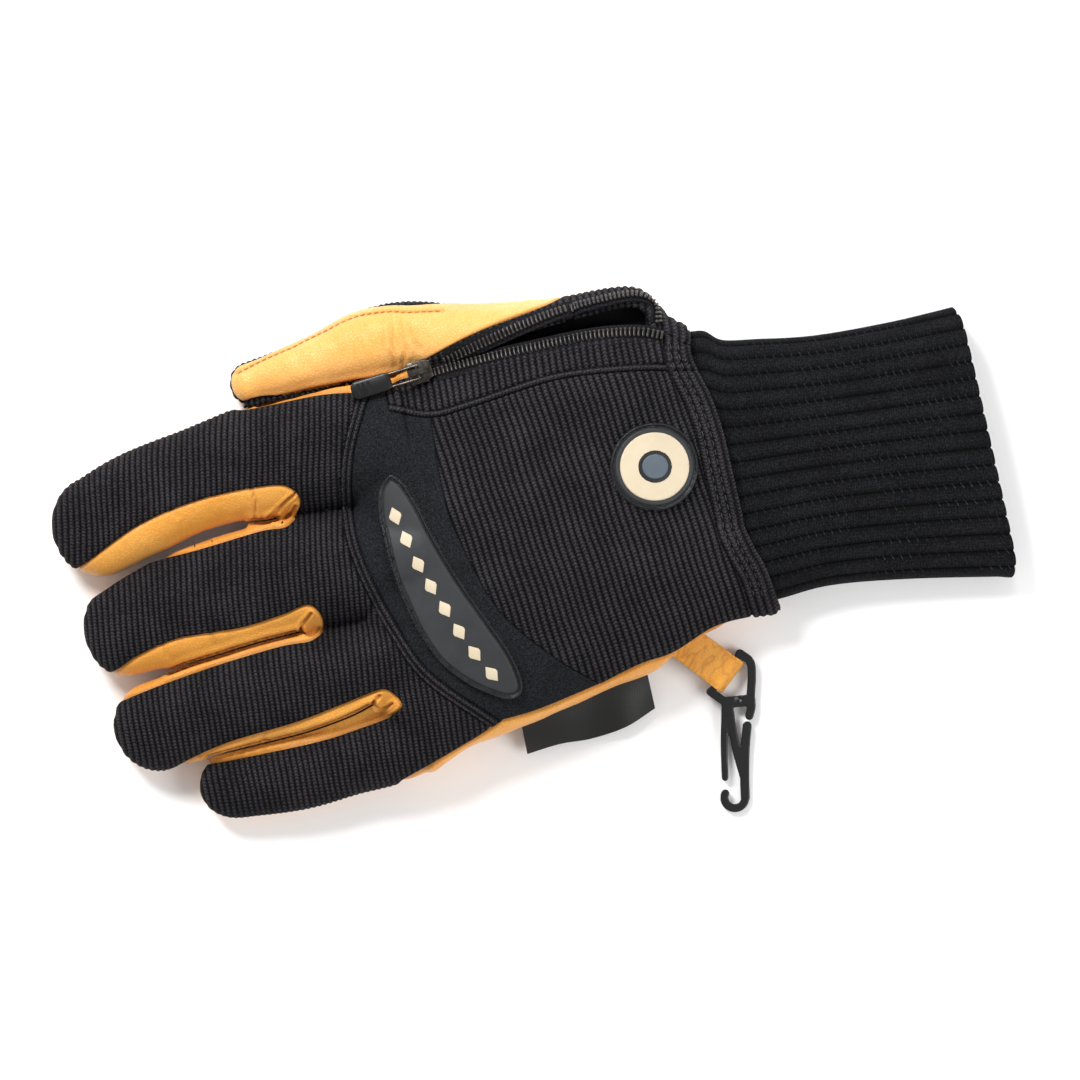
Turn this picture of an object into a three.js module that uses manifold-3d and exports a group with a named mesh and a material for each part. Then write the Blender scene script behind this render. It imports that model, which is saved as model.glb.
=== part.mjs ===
// A winter glove for the left hand, lying palm down on a table.
// Units are millimetres, +Z is up. Fingertips point to -X, the cuff ends at +X,
// and the thumb lies on the +Y side, which the tables call the far side.
import * as THREE from 'three';
import { mergeVertices } from 'three/addons/utils/BufferGeometryUtils.js';
import Module from 'manifold-3d';

const wasm = await Module();
wasm.setup();

// Driving dimensions
const WALL = 2.0;            // knit or leather with its padding
const GAP = 0.3;             // between pieces that touch
const SINK = 1.2;            // how far the soft underside is pressed flat
const WIDEST = 0.42;         // level of the widest line, as a share of the height
const FINGER_SIDES = 12;
const HOLLOW_SIDES = 10;     // of a finger's hollow
const HAND_SIDES = 20;
const FINGER_SEAM_Z = 6.5;   // height of the side seam between knit back and leather
const HAND_SEAM_Z = 9;
const THUMB_SEAM_Z = 8.5;
const THUMB_SEAM_END_X = -20; // where the thumb's side seam ends in the palm
const FINGER_POWER = 2.4;    // squareness of a section, 2 is an ellipse
const HAND_POWER = 2.7;
const CUFF_POWER = 2.5;
const TIP_STEPS = 3;         // steps that round off a tip
const SLIT_WIDTH = 0.7;      // between two fingers that lie together
const ABOVE = 60;            // a height above everything
const WORLD = 400;           // a width beyond everything

// Section tables, a row for each section from the tip to the wrist:
// far edge x and y, near edge x and y, height of the back
const INDEX = {
  reach: 12,
  rows: [
    [-129.0, 20.5, -119.5, -6.0, 17.5],
    [-117.5, 27.5, -107.0, 0.0, 19.5],
    [-101.0, 34.0, -92.0, 7.0, 20.5],
    [-83.0, 41.0, -74.5, 10.5, 21.5],
    [-61.5, 46.0, -56.0, 12.5, 25.0],
    [-40.0, 50.0, -34.0, 13.0, 28.0],
  ],
};
const MIDDLE = {
  reach: 10.5,
  rows: [
    [-120.0, -9.0, -114.0, -34.0, 18.0],
    [-105.0, -0.7, -98.0, -30.7, 20.5],
    [-89.5, 5.0, -84.0, -27.0, 21.5],
    [-73.0, 9.5, -67.0, -22.0, 23.0],
    [-54.5, 12.5, -50.0, -19.0, 26.5],
    [-34.0, 16.0, -29.5, -16.0, 29.0],
  ],
};
const RING = {
  reach: 11.5,
  rows: [
    [-111.5, -36.5, -103.5, -60.0, 17.5],
    [-98.0, -31.0, -91.0, -57.0, 19.5],
    [-84.0, -27.0, -77.0, -52.5, 20.5],
    [-67.0, -22.5, -60.0, -49.4, 22.0],
    [-50.5, -19.0, -43.5, -44.2, 25.5],
    [-31.0, -14.5, -25.0, -38.5, 28.0],
  ],
};
const LITTLE = {
  reach: 10.5,
  rows: [
    [-86.0, -55.5, -83.5, -73.8, 14.5],
    [-70.0, -52.5, -66.5, -71.5, 16.5],
    [-54.5, -47.6, -51.5, -67.3, 18.0],
    [-40.5, -42.5, -36.0, -63.0, 21.0],
    [-22.5, -34.0, -17.5, -53.0, 24.0],
  ],
};
const THUMB = {
  reach: 5.5,
  rows: [
    [-82.5, 53.5, -80.5, 42.0, 12.5],
    [-74.0, 56.7, -71.5, 44.5, 15.5],
    [-63.0, 61.7, -60.0, 46.5, 18.0],
    [-52.0, 67.5, -49.0, 48.0, 20.5],
    [-39.0, 70.4, -35.0, 50.0, 23.0],
    [-24.0, 70.0, -22.0, 50.0, 25.0],
    [-8.0, 70.2, -6.0, 50.0, 26.0],
    [8.0, 72.0, 9.0, 52.0, 27.0],
  ],
};
const HAND = {
  reach: 16,
  rows: [
    [-40.5, 50.5, -30.0, -61.3, 27.5],
    [-28.0, 56.5, -19.0, -54.0, 30.0],
    [-14.0, 64.0, -7.0, -49.5, 31.0],
    [1.5, 70.0, 8.0, -43.0, 31.5],
    [17.0, 73.5, 21.0, -37.0, 31.0],
    [28.5, 73.6, 32.0, -33.0, 30.0],
    [36.0, 65.5, 39.0, -27.5, 28.0],
    [45.0, 62.0, 48.5, -21.5, 25.5],
    [57.5, 60.5, 62.0, -16.6, 23.5],
    [70.0, 60.0, 76.0, -16.5, 22.5],
  ],
};
const CUFF = {
  ribs: 34,
  depth: 0.9,                // from crest to groove
  wall: 2.0,
  rows: [                    // as above, then how far the underside is pressed below the table
    [44.5, 58.8, 49.0, -17.8, 20.6, -2.5],
    [57.5, 60.0, 66.5, -12.6, 20.0, -2.5],
    [77.0, 61.4, 82.0, -9.0, 19.5, 1.2],
    [98.0, 65.2, 104.0, -7.3, 18.5, 1.2],
    [117.0, 69.6, 134.0, -6.4, 17.5, 1.2],
  ],
};

// Seams seen from above, x and y
const KNUCKLE_SEAM = [
  [-47.5, 45.2], [-52.0, 27.5], [-52.3, 12.0], [-49.0, -2.0], [-40.3, -19.2], [-30.5, -33.2], [-11.2, -46.8],
];
const BACK_SEAM = [
  [-30.5, 38.0], [-27.2, 18.0], [-23.2, 5.5], [-11.8, -15.3], [3.6, -28.7], [16.8, -36.5],
];
const POCKET_SEAM = [[-42.0, 39.8], [-30.5, 38.0], [-19.6, 40.7], [4.2, 48.3], [25.0, 50.8], [41.5, 51.0]];
const HEM = [
  [36.5, 75.0], [40.3, 57.0], [46.5, 44.4], [50.4, 29.0], [54.8, 12.0], [61.6, -6.0], [67.0, -20.0],
];
const MOUTH_FRONT = [[-30.2, 51.0], [-11.2, 56.4], [11.2, 61.0], [25.0, 62.6], [30.8, 62.5]];
const MOUTH_REAR = [[30.8, 62.5], [30.8, 68.0], [26.5, 70.6], [16.8, 69.0], [-5.6, 61.8], [-30.2, 51.0]];
const REAR_PANEL_EDGE = [[-34.0, 53.0], [-16.8, 62.0], [5.6, 71.5], [10.0, 80.0]];
const LITTLE_SIDE = [[-38.5, -63.5], [-28.0, -57.5], [-16.8, -50.8], [-11.2, -46.8]];
const HAND_SIDE = [[-11.2, -46.8], [0.0, -43.5], [16.8, -36.5]];
const WRIST_SIDE = [[16.8, -36.5], [28.0, -30.9], [37.5, -27.6], [49.0, -20.5], [60.0, -18.0], [67.0, -20.0]];

// Edges of the knit back round each finger, from the thumb side to the little finger.
// Past a tip or an outer edge the line runs clear of the glove, and the knit folds over.
const FINGER_EDGE = {
  indexFar: [[-47.5, 45.2], [-61.6, 44.4], [-83.2, 40.3], [-90.0, 42.0], [-112.0, 34.0], [-132.0, 24.0]],
  indexTip: [[-140.0, 14.0], [-141.0, 2.0], [-136.0, -5.0], [-129.9, -4.3]],
  indexNear: [[-129.9, -4.3], [-112.0, 8.0], [-95.2, 15.0], [-78.4, 18.6]],
  indexCrotch: [[-70.5, 18.6], [-66.6, 14.0], [-70.5, 7.9]],
  middleFar: [[-78.4, 6.3], [-95.2, 1.3], [-106.0, -1.5], [-113.0, -4.0], [-121.0, -9.5]],
  middleTip: [[-129.5, -16.0], [-131.0, -25.0], [-127.0, -34.0], [-119.6, -33.2]],
  middleNear: [[-112.0, -28.4], [-100.8, -23.7], [-84.0, -20.9], [-72.8, -17.5]],
  middleCrotch: [[-64.4, -14.4], [-60.2, -19.5], [-63.5, -24.0]],
  ringFar: [[-72.8, -25.9], [-89.6, -30.9], [-106.4, -36.8], [-117.6, -41.4]],
  ringTip: [[-123.0, -44.0], [-124.0, -52.0], [-118.0, -62.0], [-108.0, -64.5], [-102.2, -60.0]],
  ringNear: [[-88.2, -53.3], [-67.2, -46.9], [-50.4, -40.2]],
  ringCrotch: [[-43.0, -38.0], [-38.6, -42.2], [-41.5, -45.3]],
  littleFar: [[-50.4, -48.6], [-61.6, -52.2], [-78.4, -55.3], [-93.0, -57.6]],
  littleTip: [[-98.5, -60.0], [-99.0, -68.0], [-92.0, -77.0]],
  littleNear: [[-78.0, -79.5], [-58.0, -75.5], [-44.0, -68.5], [-38.5, -63.5]],
};

// Slits that keep the fingers apart, from the crotch to beyond the tips
const SLITS = [
  [[-66.0, 11.8], [-81.0, 8.2], [-95.0, 3.6], [-108.0, -0.6], [-124.0, -8.0]],
  [[-60.5, -19.5], [-67.0, -22.3], [-84.0, -27.0], [-98.0, -30.9], [-112.0, -36.0]],
  [[-39.0, -42.4], [-47.0, -45.6], [-61.5, -50.0], [-77.0, -54.0], [-94.0, -58.0]],
  [[-41.0, 50.0], [-52.0, 48.1], [-61.5, 46.4], [-72.5, 43.7], [-90.0, 39.5]],
];

// Curves and outlines
const vec2 = ([x, y]) => new THREE.Vector2(x, y);
const curved = (points, perSpan = 2) => new THREE.SplineCurve(points.map(vec2))
  .getPoints(perSpan * (points.length - 1));
const reversed = (points) => [...points].reverse();

function joinedOutline(...runs) {
  const all = runs.flat();
  return all.filter((point, i) => point.distanceTo(all[(i + 1) % all.length]) > 0.05);
}

// Moves each side of a closed outline outward by a distance, inward when it is negative.
function offsetOutline(points, distance) {
  const turn = Math.sign(THREE.ShapeUtils.area(points));
  return points.map((point, i) => {
    const before = points[(i + points.length - 1) % points.length];
    const after = points[(i + 1) % points.length];
    const normalIn = point.clone().sub(before).normalize();
    const normalOut = after.clone().sub(point).normalize();
    const n1 = new THREE.Vector2(normalIn.y, -normalIn.x);
    const n2 = new THREE.Vector2(normalOut.y, -normalOut.x);
    const bisector = n1.clone().add(n2).normalize();
    const stretch = 1 / Math.max(0.6, bisector.dot(n1));
    return point.clone().addScaledVector(bisector, turn * distance * stretch);
  });
}

// Solids
function solidOf(geometry) {
  const bare = geometry.clone();
  bare.deleteAttribute('normal');
  bare.deleteAttribute('uv');
  const merged = mergeVertices(bare, 1e-4);
  return new wasm.Manifold(new wasm.Mesh({
    numProp: 3,
    vertProperties: Float32Array.from(merged.attributes.position.array),
    triVerts: Uint32Array.from(merged.index.array),
  }));
}

function geometryOf(solid) {
  const mesh = solid.getMesh();
  const geometry = new THREE.BufferGeometry();
  geometry.setAttribute('position', new THREE.BufferAttribute(Float32Array.from(mesh.vertProperties), 3));
  geometry.setIndex(new THREE.BufferAttribute(Uint32Array.from(mesh.triVerts), 1));
  return geometry;
}

function prism(outline, bottom, top = ABOVE) {
  const geometry = new THREE.ExtrudeGeometry(new THREE.Shape(outline), {
    depth: top - bottom,
    bevelEnabled: false,
  });
  geometry.translate(0, 0, bottom);
  return solidOf(geometry);
}

function block(x, y, z, cx, cy, cz) {
  const geometry = new THREE.BoxGeometry(x, y, z);
  geometry.translate(cx, cy, cz);
  return solidOf(geometry);
}

const joined = (solids) => solids.reduce((sum, solid) => sum.add(solid));

// The largest of the separate bodies that a cut leaves
function largest(solid) {
  return solid.decompose().sort((a, b) => b.volume() - a.volume())[0];
}

// A closed skin over rings of points, with a point or the ring's middle closing each end
function loft(rings, startPoint, endPoint) {
  const count = rings[0].length;
  const middle = (ring) => ring.reduce((sum, p) => sum.add(p), new THREE.Vector3()).divideScalar(count);
  const points = [startPoint ?? middle(rings[0]), ...rings.flat(), endPoint ?? middle(rings.at(-1))];
  const last = points.length - 1;
  const faces = [];
  for (let i = 0; i < count; i += 1) {
    const next = (i + 1) % count;
    faces.push(0, 1 + next, 1 + i);
    for (let r = 0; r + 1 < rings.length; r += 1) {
      const a = 1 + r * count;
      const b = a + count;
      faces.push(a + i, a + next, b + next, a + i, b + next, b + i);
    }
    const base = 1 + (rings.length - 1) * count;
    faces.push(last, base + i, base + next);
  }
  const geometry = new THREE.BufferGeometry();
  geometry.setAttribute('position', new THREE.BufferAttribute(
    Float32Array.from(points.flatMap((p) => [p.x, p.y, p.z])), 3));
  geometry.setIndex(faces);
  const volume = signedVolume(points, faces);
  if (volume < 0) geometry.setIndex(reversed(faces));
  return geometry;
}

function signedVolume(points, faces) {
  let sum = 0;
  for (let i = 0; i < faces.length; i += 3) {
    const [a, b, c] = faces.slice(i, i + 3).map((k) => points[k]);
    sum += a.dot(b.clone().cross(c));
  }
  return sum / 6;
}

// Sections of a soft tube, from the rows of its table
const sections = (rows) => rows.map(([farX, farY, nearX, nearY, top]) => (
  { far: vec2([farX, farY]), near: vec2([nearX, nearY]), top }));

// A ring of points round one section, grown by an offset, shrunk and moved forward at a tip
function sectionRing(section, offset, sides, power, options = {}) {
  const { far, near, top, sink = SINK } = section;
  const { shrink = 1, forward = 0, ripple = () => 0, angles } = options;
  const across = far.clone().sub(near).normalize();
  const ahead = new THREE.Vector2(-across.y, across.x);
  const centre = far.clone().add(near).multiplyScalar(0.5).addScaledVector(ahead, forward);
  const half = far.distanceTo(near) / 2 + offset;
  const level = WIDEST * top;
  const round = (value, exponent) => Math.sign(value) * Math.abs(value) ** (2 / exponent);
  return Array.from({ length: sides }, (_, i) => {
    const angle = angles ? angles[i] : (2 * Math.PI * i) / sides;
    const rise = Math.sin(angle) >= 0 ? top + offset - level : level + sink + offset;
    const grow = 1 + ripple(i) / half;
    const side = round(Math.cos(angle), power) * half * shrink * grow;
    const z = level + round(Math.sin(angle), power) * (rise * shrink + ripple(i));
    return new THREE.Vector3(centre.x + across.x * side, centre.y + across.y * side, z);
  });
}

function softTube({ rows, reach }, offset, { sides = FINGER_SIDES, power = FINGER_POWER } = {}) {
  const stations = sections(rows);
  const rings = [];
  for (let k = TIP_STEPS - 1; k >= 1; k -= 1) {
    const angle = (k / TIP_STEPS) * (Math.PI / 2);
    const tip = { shrink: Math.cos(angle), forward: Math.sin(angle) * (reach + offset) };
    rings.push(sectionRing(stations[0], offset, sides, power, tip));
  }
  const across = stations[0].far.clone().sub(stations[0].near).normalize();
  const centre = stations[0].far.clone().add(stations[0].near).multiplyScalar(0.5);
  centre.addScaledVector(new THREE.Vector2(-across.y, across.x), reach + offset);
  const tip = new THREE.Vector3(centre.x, centre.y, WIDEST * stations[0].top);
  rings.push(...stations.map((station) => sectionRing(station, offset, sides, power)));
  return solidOf(loft(rings, tip));
}

const floorCut = (level) => block(WORLD, WORLD, WORLD, 0, 0, level - WORLD / 2);

// The whole glove without its cuff, grown or shrunk by an offset and flat where it rests
function body(offset, sides = FINGER_SIDES) {
  const tubes = [INDEX, MIDDLE, RING, LITTLE, THUMB].map((finger) => softTube(finger, offset, { sides }));
  tubes.push(softTube(HAND, offset, { sides: HAND_SIDES, power: HAND_POWER }));
  return joined(tubes).subtract(floorCut(-offset));
}

// The height of the back above a point, or the height where a line straight down meets it
const skin = body(0);
const skinMesh = skin.getMesh();
function backHeight(x, y) {
  const vertices = skinMesh.vertProperties;
  const corners = [0, 1, 2].map(() => new THREE.Vector3());
  const spot = new THREE.Vector3(x, y, 0);
  const weights = new THREE.Vector3();
  let highest = 0;
  for (let i = 0; i < skinMesh.triVerts.length; i += 3) {
    corners.forEach((corner, k) => corner.fromArray(vertices, 3 * skinMesh.triVerts[i + k]));
    const flat = corners.map((corner) => new THREE.Vector3(corner.x, corner.y, 0));
    if (!THREE.Triangle.getBarycoord(spot, ...flat, weights)) continue;
    if (Math.min(weights.x, weights.y, weights.z) < -1e-6) continue;
    const z = weights.x * corners[0].z + weights.y * corners[1].z + weights.z * corners[2].z;
    highest = Math.max(highest, z);
  }
  return highest;
}

// A slit along a line, cut from top to bottom
function slit(points) {
  const line = points.map(vec2);
  const half = SLIT_WIDTH / 2;
  const side = (sign) => line.map((point, i) => {
    const ahead = line[Math.min(i + 1, line.length - 1)].clone().sub(line[Math.max(i - 1, 0)]).normalize();
    return point.clone().add(new THREE.Vector2(-ahead.y, ahead.x).multiplyScalar(sign * half));
  });
  return prism([...side(1), ...side(-1).reverse()], -1);
}

// Panel outlines
const pocketSeam = curved(POCKET_SEAM);
const [bandCornerX] = POCKET_SEAM[1];
const seamEnd = pocketSeam.at(-1);
const stripEnd = [[-43.2, 46.6], [-39.0, 48.8]].map(vec2);
const wristCorner = [[34.4, 61.5], [39.8, 58.5]].map(vec2);

const fingerBackOutline = () => joinedOutline(
  ...Object.values(FINGER_EDGE).map((run) => run.map(vec2)),
  curved(LITTLE_SIDE),
  curved(reversed(KNUCKLE_SEAM)),
);
const bandOutline = () => joinedOutline(
  curved(KNUCKLE_SEAM),
  curved(HAND_SIDE),
  curved(reversed(BACK_SEAM)),
  reversed(pocketSeam.filter((point) => point.x <= bandCornerX)),
  stripEnd.slice(0, 1),
);
const handBackOutline = () => joinedOutline(
  pocketSeam.filter((point) => point.x >= bandCornerX),
  curved(HEM).filter((point) => point.y < seamEnd.y - 0.5),
  curved(reversed(WRIST_SIDE)),
  curved(reversed(BACK_SEAM)),
);
const pocketStripOutline = () => joinedOutline(
  curved(MOUTH_FRONT),
  wristCorner,
  reversed(pocketSeam),
  stripEnd,
);
const mouthOutline = () => joinedOutline(curved(MOUTH_FRONT), curved(MOUTH_REAR));
const rearPanelOutline = () => joinedOutline(
  curved(REAR_PANEL_EDGE),
  [[36.5, 84.0], [44.0, 74.0]].map(vec2),
  reversed(wristCorner),
  curved(MOUTH_REAR),
);
const thumbOutline = () => joinedOutline(
  [[-95.0, 38.0], [-90.0, 39.5], [-72.5, 43.7], [-52.0, 48.1], [-41.0, 50.0]].map(vec2),
  curved(REAR_PANEL_EDGE),
  [[10.0, 85.0], [-95.0, 85.0]].map(vec2),
);

const PANELS = {
  finger_back_knit: { outline: fingerBackOutline(), seam: FINGER_SEAM_Z },
  knuckle_band: { outline: bandOutline(), seam: HAND_SEAM_Z },
  hand_back_knit: { outline: handBackOutline(), seam: HAND_SEAM_Z },
  pocket_front_knit: { outline: pocketStripOutline(), seam: HAND_SEAM_Z },
  pocket_rear_knit: { outline: rearPanelOutline(), seam: HAND_SEAM_Z },
  thumb_leather: { outline: thumbOutline(), seam: THUMB_SEAM_Z },
};

// The hollow shell, open at the wrist
const openWrist = prism(joinedOutline(curved(HEM), [[140, -40], [140, 90]].map(vec2)), -1);
const mouth = prism(mouthOutline(), HAND_SEAM_Z + 2);
const shell = skin.subtract(body(-WALL, HOLLOW_SIDES)).subtract(joined(SLITS.map(slit)))
  .subtract(openWrist).subtract(mouth);

const pieces = {};
for (const [name, { outline, seam }] of Object.entries(PANELS)) {
  pieces[name] = largest(shell.intersect(prism(offsetOutline(outline, -GAP / 2), seam)));
}
const underThumb = prism(offsetOutline(thumbOutline(), -GAP / 2), -1, THUMB_SEAM_Z - GAP);
const inFrontOf = (x) => block(WORLD, WORLD, WORLD, x - WORLD / 2, 0, 0);
pieces.thumb_back_knit = largest(shell.intersect(underThumb).intersect(inFrontOf(THUMB_SEAM_END_X)));

const thumbBackGap = prism(offsetOutline(thumbOutline(), GAP / 2), -1, THUMB_SEAM_Z)
  .intersect(inFrontOf(THUMB_SEAM_END_X + GAP));
const covered = Object.values(PANELS).map(({ outline, seam }) => prism(offsetOutline(outline, GAP), seam - GAP));
pieces.palm_leather = largest(shell.subtract(joined([...covered, thumbBackGap, mouth])));

// Pocket bag, a shallow tray that hangs under the back and is open at the zip
const BAG_EDGE = [
  [-27.0, 47.0], [-20.0, 55.5], [0.0, 64.5], [18.0, 70.5], [29.0, 71.8], [33.0, 66.0], [35.0, 55.0],
  [33.0, 36.0], [-10.0, 34.0], [-24.0, 40.0],
];
const BAG = { wall: 1.2, depth: 6.4, floorZ: 12 };

function pocketBag() {
  const layer = (depth) => softTube(HAND, -WALL - depth, { sides: HAND_SIDES, power: HAND_POWER });
  const outline = BAG_EDGE.map(vec2);
  const inside = prism(offsetOutline(outline, -BAG.wall), BAG.floorZ + BAG.wall);
  const bag = prism(outline, BAG.floorZ).intersect(layer(GAP)).subtract(layer(GAP + BAG.depth + BAG.wall));
  return largest(bag.subtract(inside.subtract(layer(GAP + BAG.depth))));
}

// Pieces laid on the back: a ribbon follows a line on it, a patch fills an outline
function backNormal(x, y) {
  const step = 1.5;
  const slope = (dx, dy) => (backHeight(x + dx, y + dy) - backHeight(x - dx, y - dy)) / (2 * step);
  const limited = (value) => THREE.MathUtils.clamp(value, -1.2, 1.2);
  return new THREE.Vector3(-limited(slope(step, 0)), -limited(slope(0, step)), 1).normalize();
}

function ribbon(points, width, thickness) {
  const line = curved(points);
  const last = line.length - 1;
  const rings = line.map((point, i) => {
    const ahead = line[Math.min(i + 1, last)].clone().sub(line[Math.max(i - 1, 0)]).normalize();
    const up = backNormal(point.x, point.y);
    const side = up.clone().cross(new THREE.Vector3(ahead.x, ahead.y, 0)).normalize();
    const foot = new THREE.Vector3(point.x, point.y, backHeight(point.x, point.y));
    const corner = (across, lift) => foot.clone().addScaledVector(side, across).addScaledVector(up, lift);
    const half = width / 2;
    return [corner(half, GAP), corner(half, thickness), corner(-half, thickness), corner(-half, GAP)];
  });
  return solidOf(loft(rings));
}

const patch = (outline, thickness) => prism(outline, HAND_SEAM_Z).intersect(
  body(thickness).subtract(body(GAP)));

// The two rows of the zip's coil, one on each lip of the pocket
const TEETH = {
  width: 2.4,
  height: 1.4,
  front: [
    [-29.0, 50.0], [-22.4, 51.9], [-11.2, 54.9], [0.0, 57.4],
    [11.2, 59.8], [20.0, 61.0], [28.0, 61.2], [33.6, 60.3],
  ],
  rear: [
    [-26.5, 54.4], [-16.8, 58.6], [-5.6, 63.3], [5.6, 67.3],
    [16.8, 70.4], [26.5, 72.0], [31.6, 69.5], [32.6, 64.0],
  ],
};

// Rubber badges with a raised rim
const KNUCKLE_BADGE = [
  [-41.4, 21.4], [-44.6, 15.5], [-43.8, 6.0], [-38.6, -10.5], [-29.0, -26.3], [-16.8, -37.7],
  [-9.8, -39.9], [-5.7, -37.9], [-6.2, -32.6], [-13.6, -17.5], [-29.4, 7.4], [-37.9, 20.0],
];
const WRIST_BADGE = { x: 31.6, y: 24.2, radius: 12 };
const BADGE = { plate: 1.5, rim: 2.2, rimWidth: 1.2 };

function badge(outline) {
  const rim = patch(outline, BADGE.rim).subtract(prism(offsetOutline(outline, -BADGE.rimWidth), 0));
  return patch(outline, BADGE.plate).add(rim);
}

const closedCurve = (points) => curved([...points, points[0]]).slice(0, -1);
const circle = ({ x, y, radius }, steps) => Array.from({ length: steps }, (_, i) => {
  const angle = (2 * Math.PI * i) / steps;
  return new THREE.Vector2(x + radius * Math.cos(angle), y + radius * Math.sin(angle));
});

// Zip slider, its metal link and the moulded grip, drawn flat with the pull along +X
const SLIDER = {
  x: -33.4, y: 50.8,
  heading: 197, pitch: -4, roll: 0,        // degrees: the way the pull points, its dip, its lean
  lift: 3.1, length: 7.0, front: 6.4, back: 4.6, plate: 2.0, bridge: 2.0, bridgeHigh: 2.6, strap: 0.8,
};
const LINK = { wire: 0.9, width: 4.6, length: 9.4, pivotX: 0.6, pivotZ: 3.0 };
const GRIP = { start: 8.3, length: 11.6, width: 5.2, thick: 2.2, pocket: 2.5 };

function flatOutline(points, bottom, top) {
  return prism(points.map(vec2), bottom, top);
}

function sliderSolid() {
  const { length, front, back, plate, bridge, bridgeHigh, strap } = SLIDER;
  const plateSolid = flatOutline([
    [-length / 2, -back / 2], [0, -front / 2], [length / 2, -front / 2 + 0.4],
    [length / 2, front / 2 - 0.4], [0, front / 2], [-length / 2, back / 2],
  ], 0, plate);
  const reach = length * 0.42;
  const arch = block(2 * reach, bridge, bridgeHigh + 0.2, 0, 0, plate + bridgeHigh / 2 - 0.1);
  const high = bridgeHigh - strap;
  const window = block(2 * (reach - strap), bridge + 1, high, 0, 0, plate + high / 2);
  return plateSolid.add(arch.subtract(window));
}

function linkSolid() {
  const { wire, width, length, pivotX, pivotZ } = LINK;
  const centreX = pivotX + length / 2;
  const outer = block(length + wire, width, wire, centreX, 0, pivotZ);
  return outer.subtract(block(length - wire, width - 2 * wire, wire + 1, centreX, 0, pivotZ));
}

function gripSolid() {
  const { start, length, width, thick, pocket } = GRIP;
  const low = LINK.pivotZ - thick / 2;
  const end = start + length;
  const chamfer = 0.9;
  const outline = [
    [start, -width / 2 + 0.4], [start + 1, -width / 2],
    [end - chamfer, -width / 2], [end, -width / 2 + chamfer],
    [end, width / 2 - chamfer], [end - chamfer, width / 2],
    [start + 1, width / 2], [start, width / 2 - 0.4],
  ];
  const slot = block(2 * pocket, LINK.width + 2 * GAP, LINK.wire + 2 * GAP, start, 0, LINK.pivotZ);
  return flatOutline(outline, low, low + thick).subtract(slot);
}

// Puts a flat drawing on the back at the slider, pitched so that the pull lies along the cloth
const sliderMatrix = (() => {
  const { x, y, heading, lift, pitch, roll } = SLIDER;
  const turn = new THREE.Euler(...[roll, -pitch, heading].map(THREE.MathUtils.degToRad), 'ZYX');
  return new THREE.Matrix4().makeRotationFromEuler(turn).setPosition(x, y, backHeight(x, y) + lift);
})();
const atSlider = (solid) => solidOf(geometryOf(solid).applyMatrix4(sliderMatrix));

// Side label, a thin satin flag sewn into the side seam: inner x, y, outer x, y, outer height
const LABEL_THICK = 0.8;
const LABEL_ROOT_Z = 7.5;
const LABEL = [
  [-5.5, -48.0, -3.6, -56.1, 2.6],
  [5.0, -43.0, 5.6, -53.3, 3.4],
  [14.0, -38.5, 14.5, -51.8, 2.4],
  [22.0, -35.0, 24.0, -48.6, 3.8],
  [29.5, -32.4, 32.2, -43.3, 2.8],
];

function sideLabel() {
  const rings = LABEL.map(([ix, iy, ox, oy, z]) => [
    new THREE.Vector3(ix, iy, LABEL_ROOT_Z),
    new THREE.Vector3(ix, iy, LABEL_ROOT_Z + LABEL_THICK),
    new THREE.Vector3(ox, oy, z + LABEL_THICK),
    new THREE.Vector3(ox, oy, z),
  ]);
  return largest(solidOf(loft(rings)).subtract(body(GAP)));
}

// Leather hang loop: a strap folded round the hook's bar
const LOOP = {
  x: 42.7, y: -26.4, heading: -37,         // root and the way it points, degrees
  width: 10.4, leather: 1.3, reach: 11.4,  // reach to the bar
  underside: [[-7, 5.6], [4, 4.0]],        // along the strap from its root, height
  topside: [[4, 7.2], [-7, 8.4]],
};
const HOOK = { thick: 2.2, barWidth: 1.8, fall: 0.072 };
const eyeRadius = Math.hypot(HOOK.thick, HOOK.barWidth) / 2 + GAP;
const loopRadius = eyeRadius + LOOP.leather;

function loopFrame() {
  const heading = THREE.MathUtils.degToRad(LOOP.heading);
  const along = new THREE.Vector3(Math.cos(heading), Math.sin(heading), 0);
  const up = new THREE.Vector3(0, 0, 1);
  const matrix = new THREE.Matrix4().makeBasis(along, up, along.clone().cross(up));
  return { matrix: matrix.setPosition(LOOP.x, LOOP.y, 0), along };
}

function hangLoop() {
  const profile = new THREE.Shape(LOOP.underside.map(vec2));
  profile.lineTo(LOOP.reach - loopRadius, loopRadius / 3);
  profile.lineTo(LOOP.reach - loopRadius / 3, 0);
  profile.absarc(LOOP.reach, loopRadius, loopRadius, -Math.PI / 2, Math.PI / 2);
  LOOP.topside.forEach(([along, height]) => profile.lineTo(along, height));
  const eye = new THREE.Path();
  eye.absarc(LOOP.reach, loopRadius, eyeRadius, 0, 2 * Math.PI, true);
  profile.holes.push(eye);
  const geometry = new THREE.ExtrudeGeometry(profile, {
    depth: LOOP.width,
    bevelEnabled: false,
    curveSegments: 8,
  });
  geometry.translate(0, 0, -LOOP.width / 2);
  geometry.applyMatrix4(loopFrame().matrix);
  return largest(solidOf(geometry).subtract(body(GAP)));
}

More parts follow.
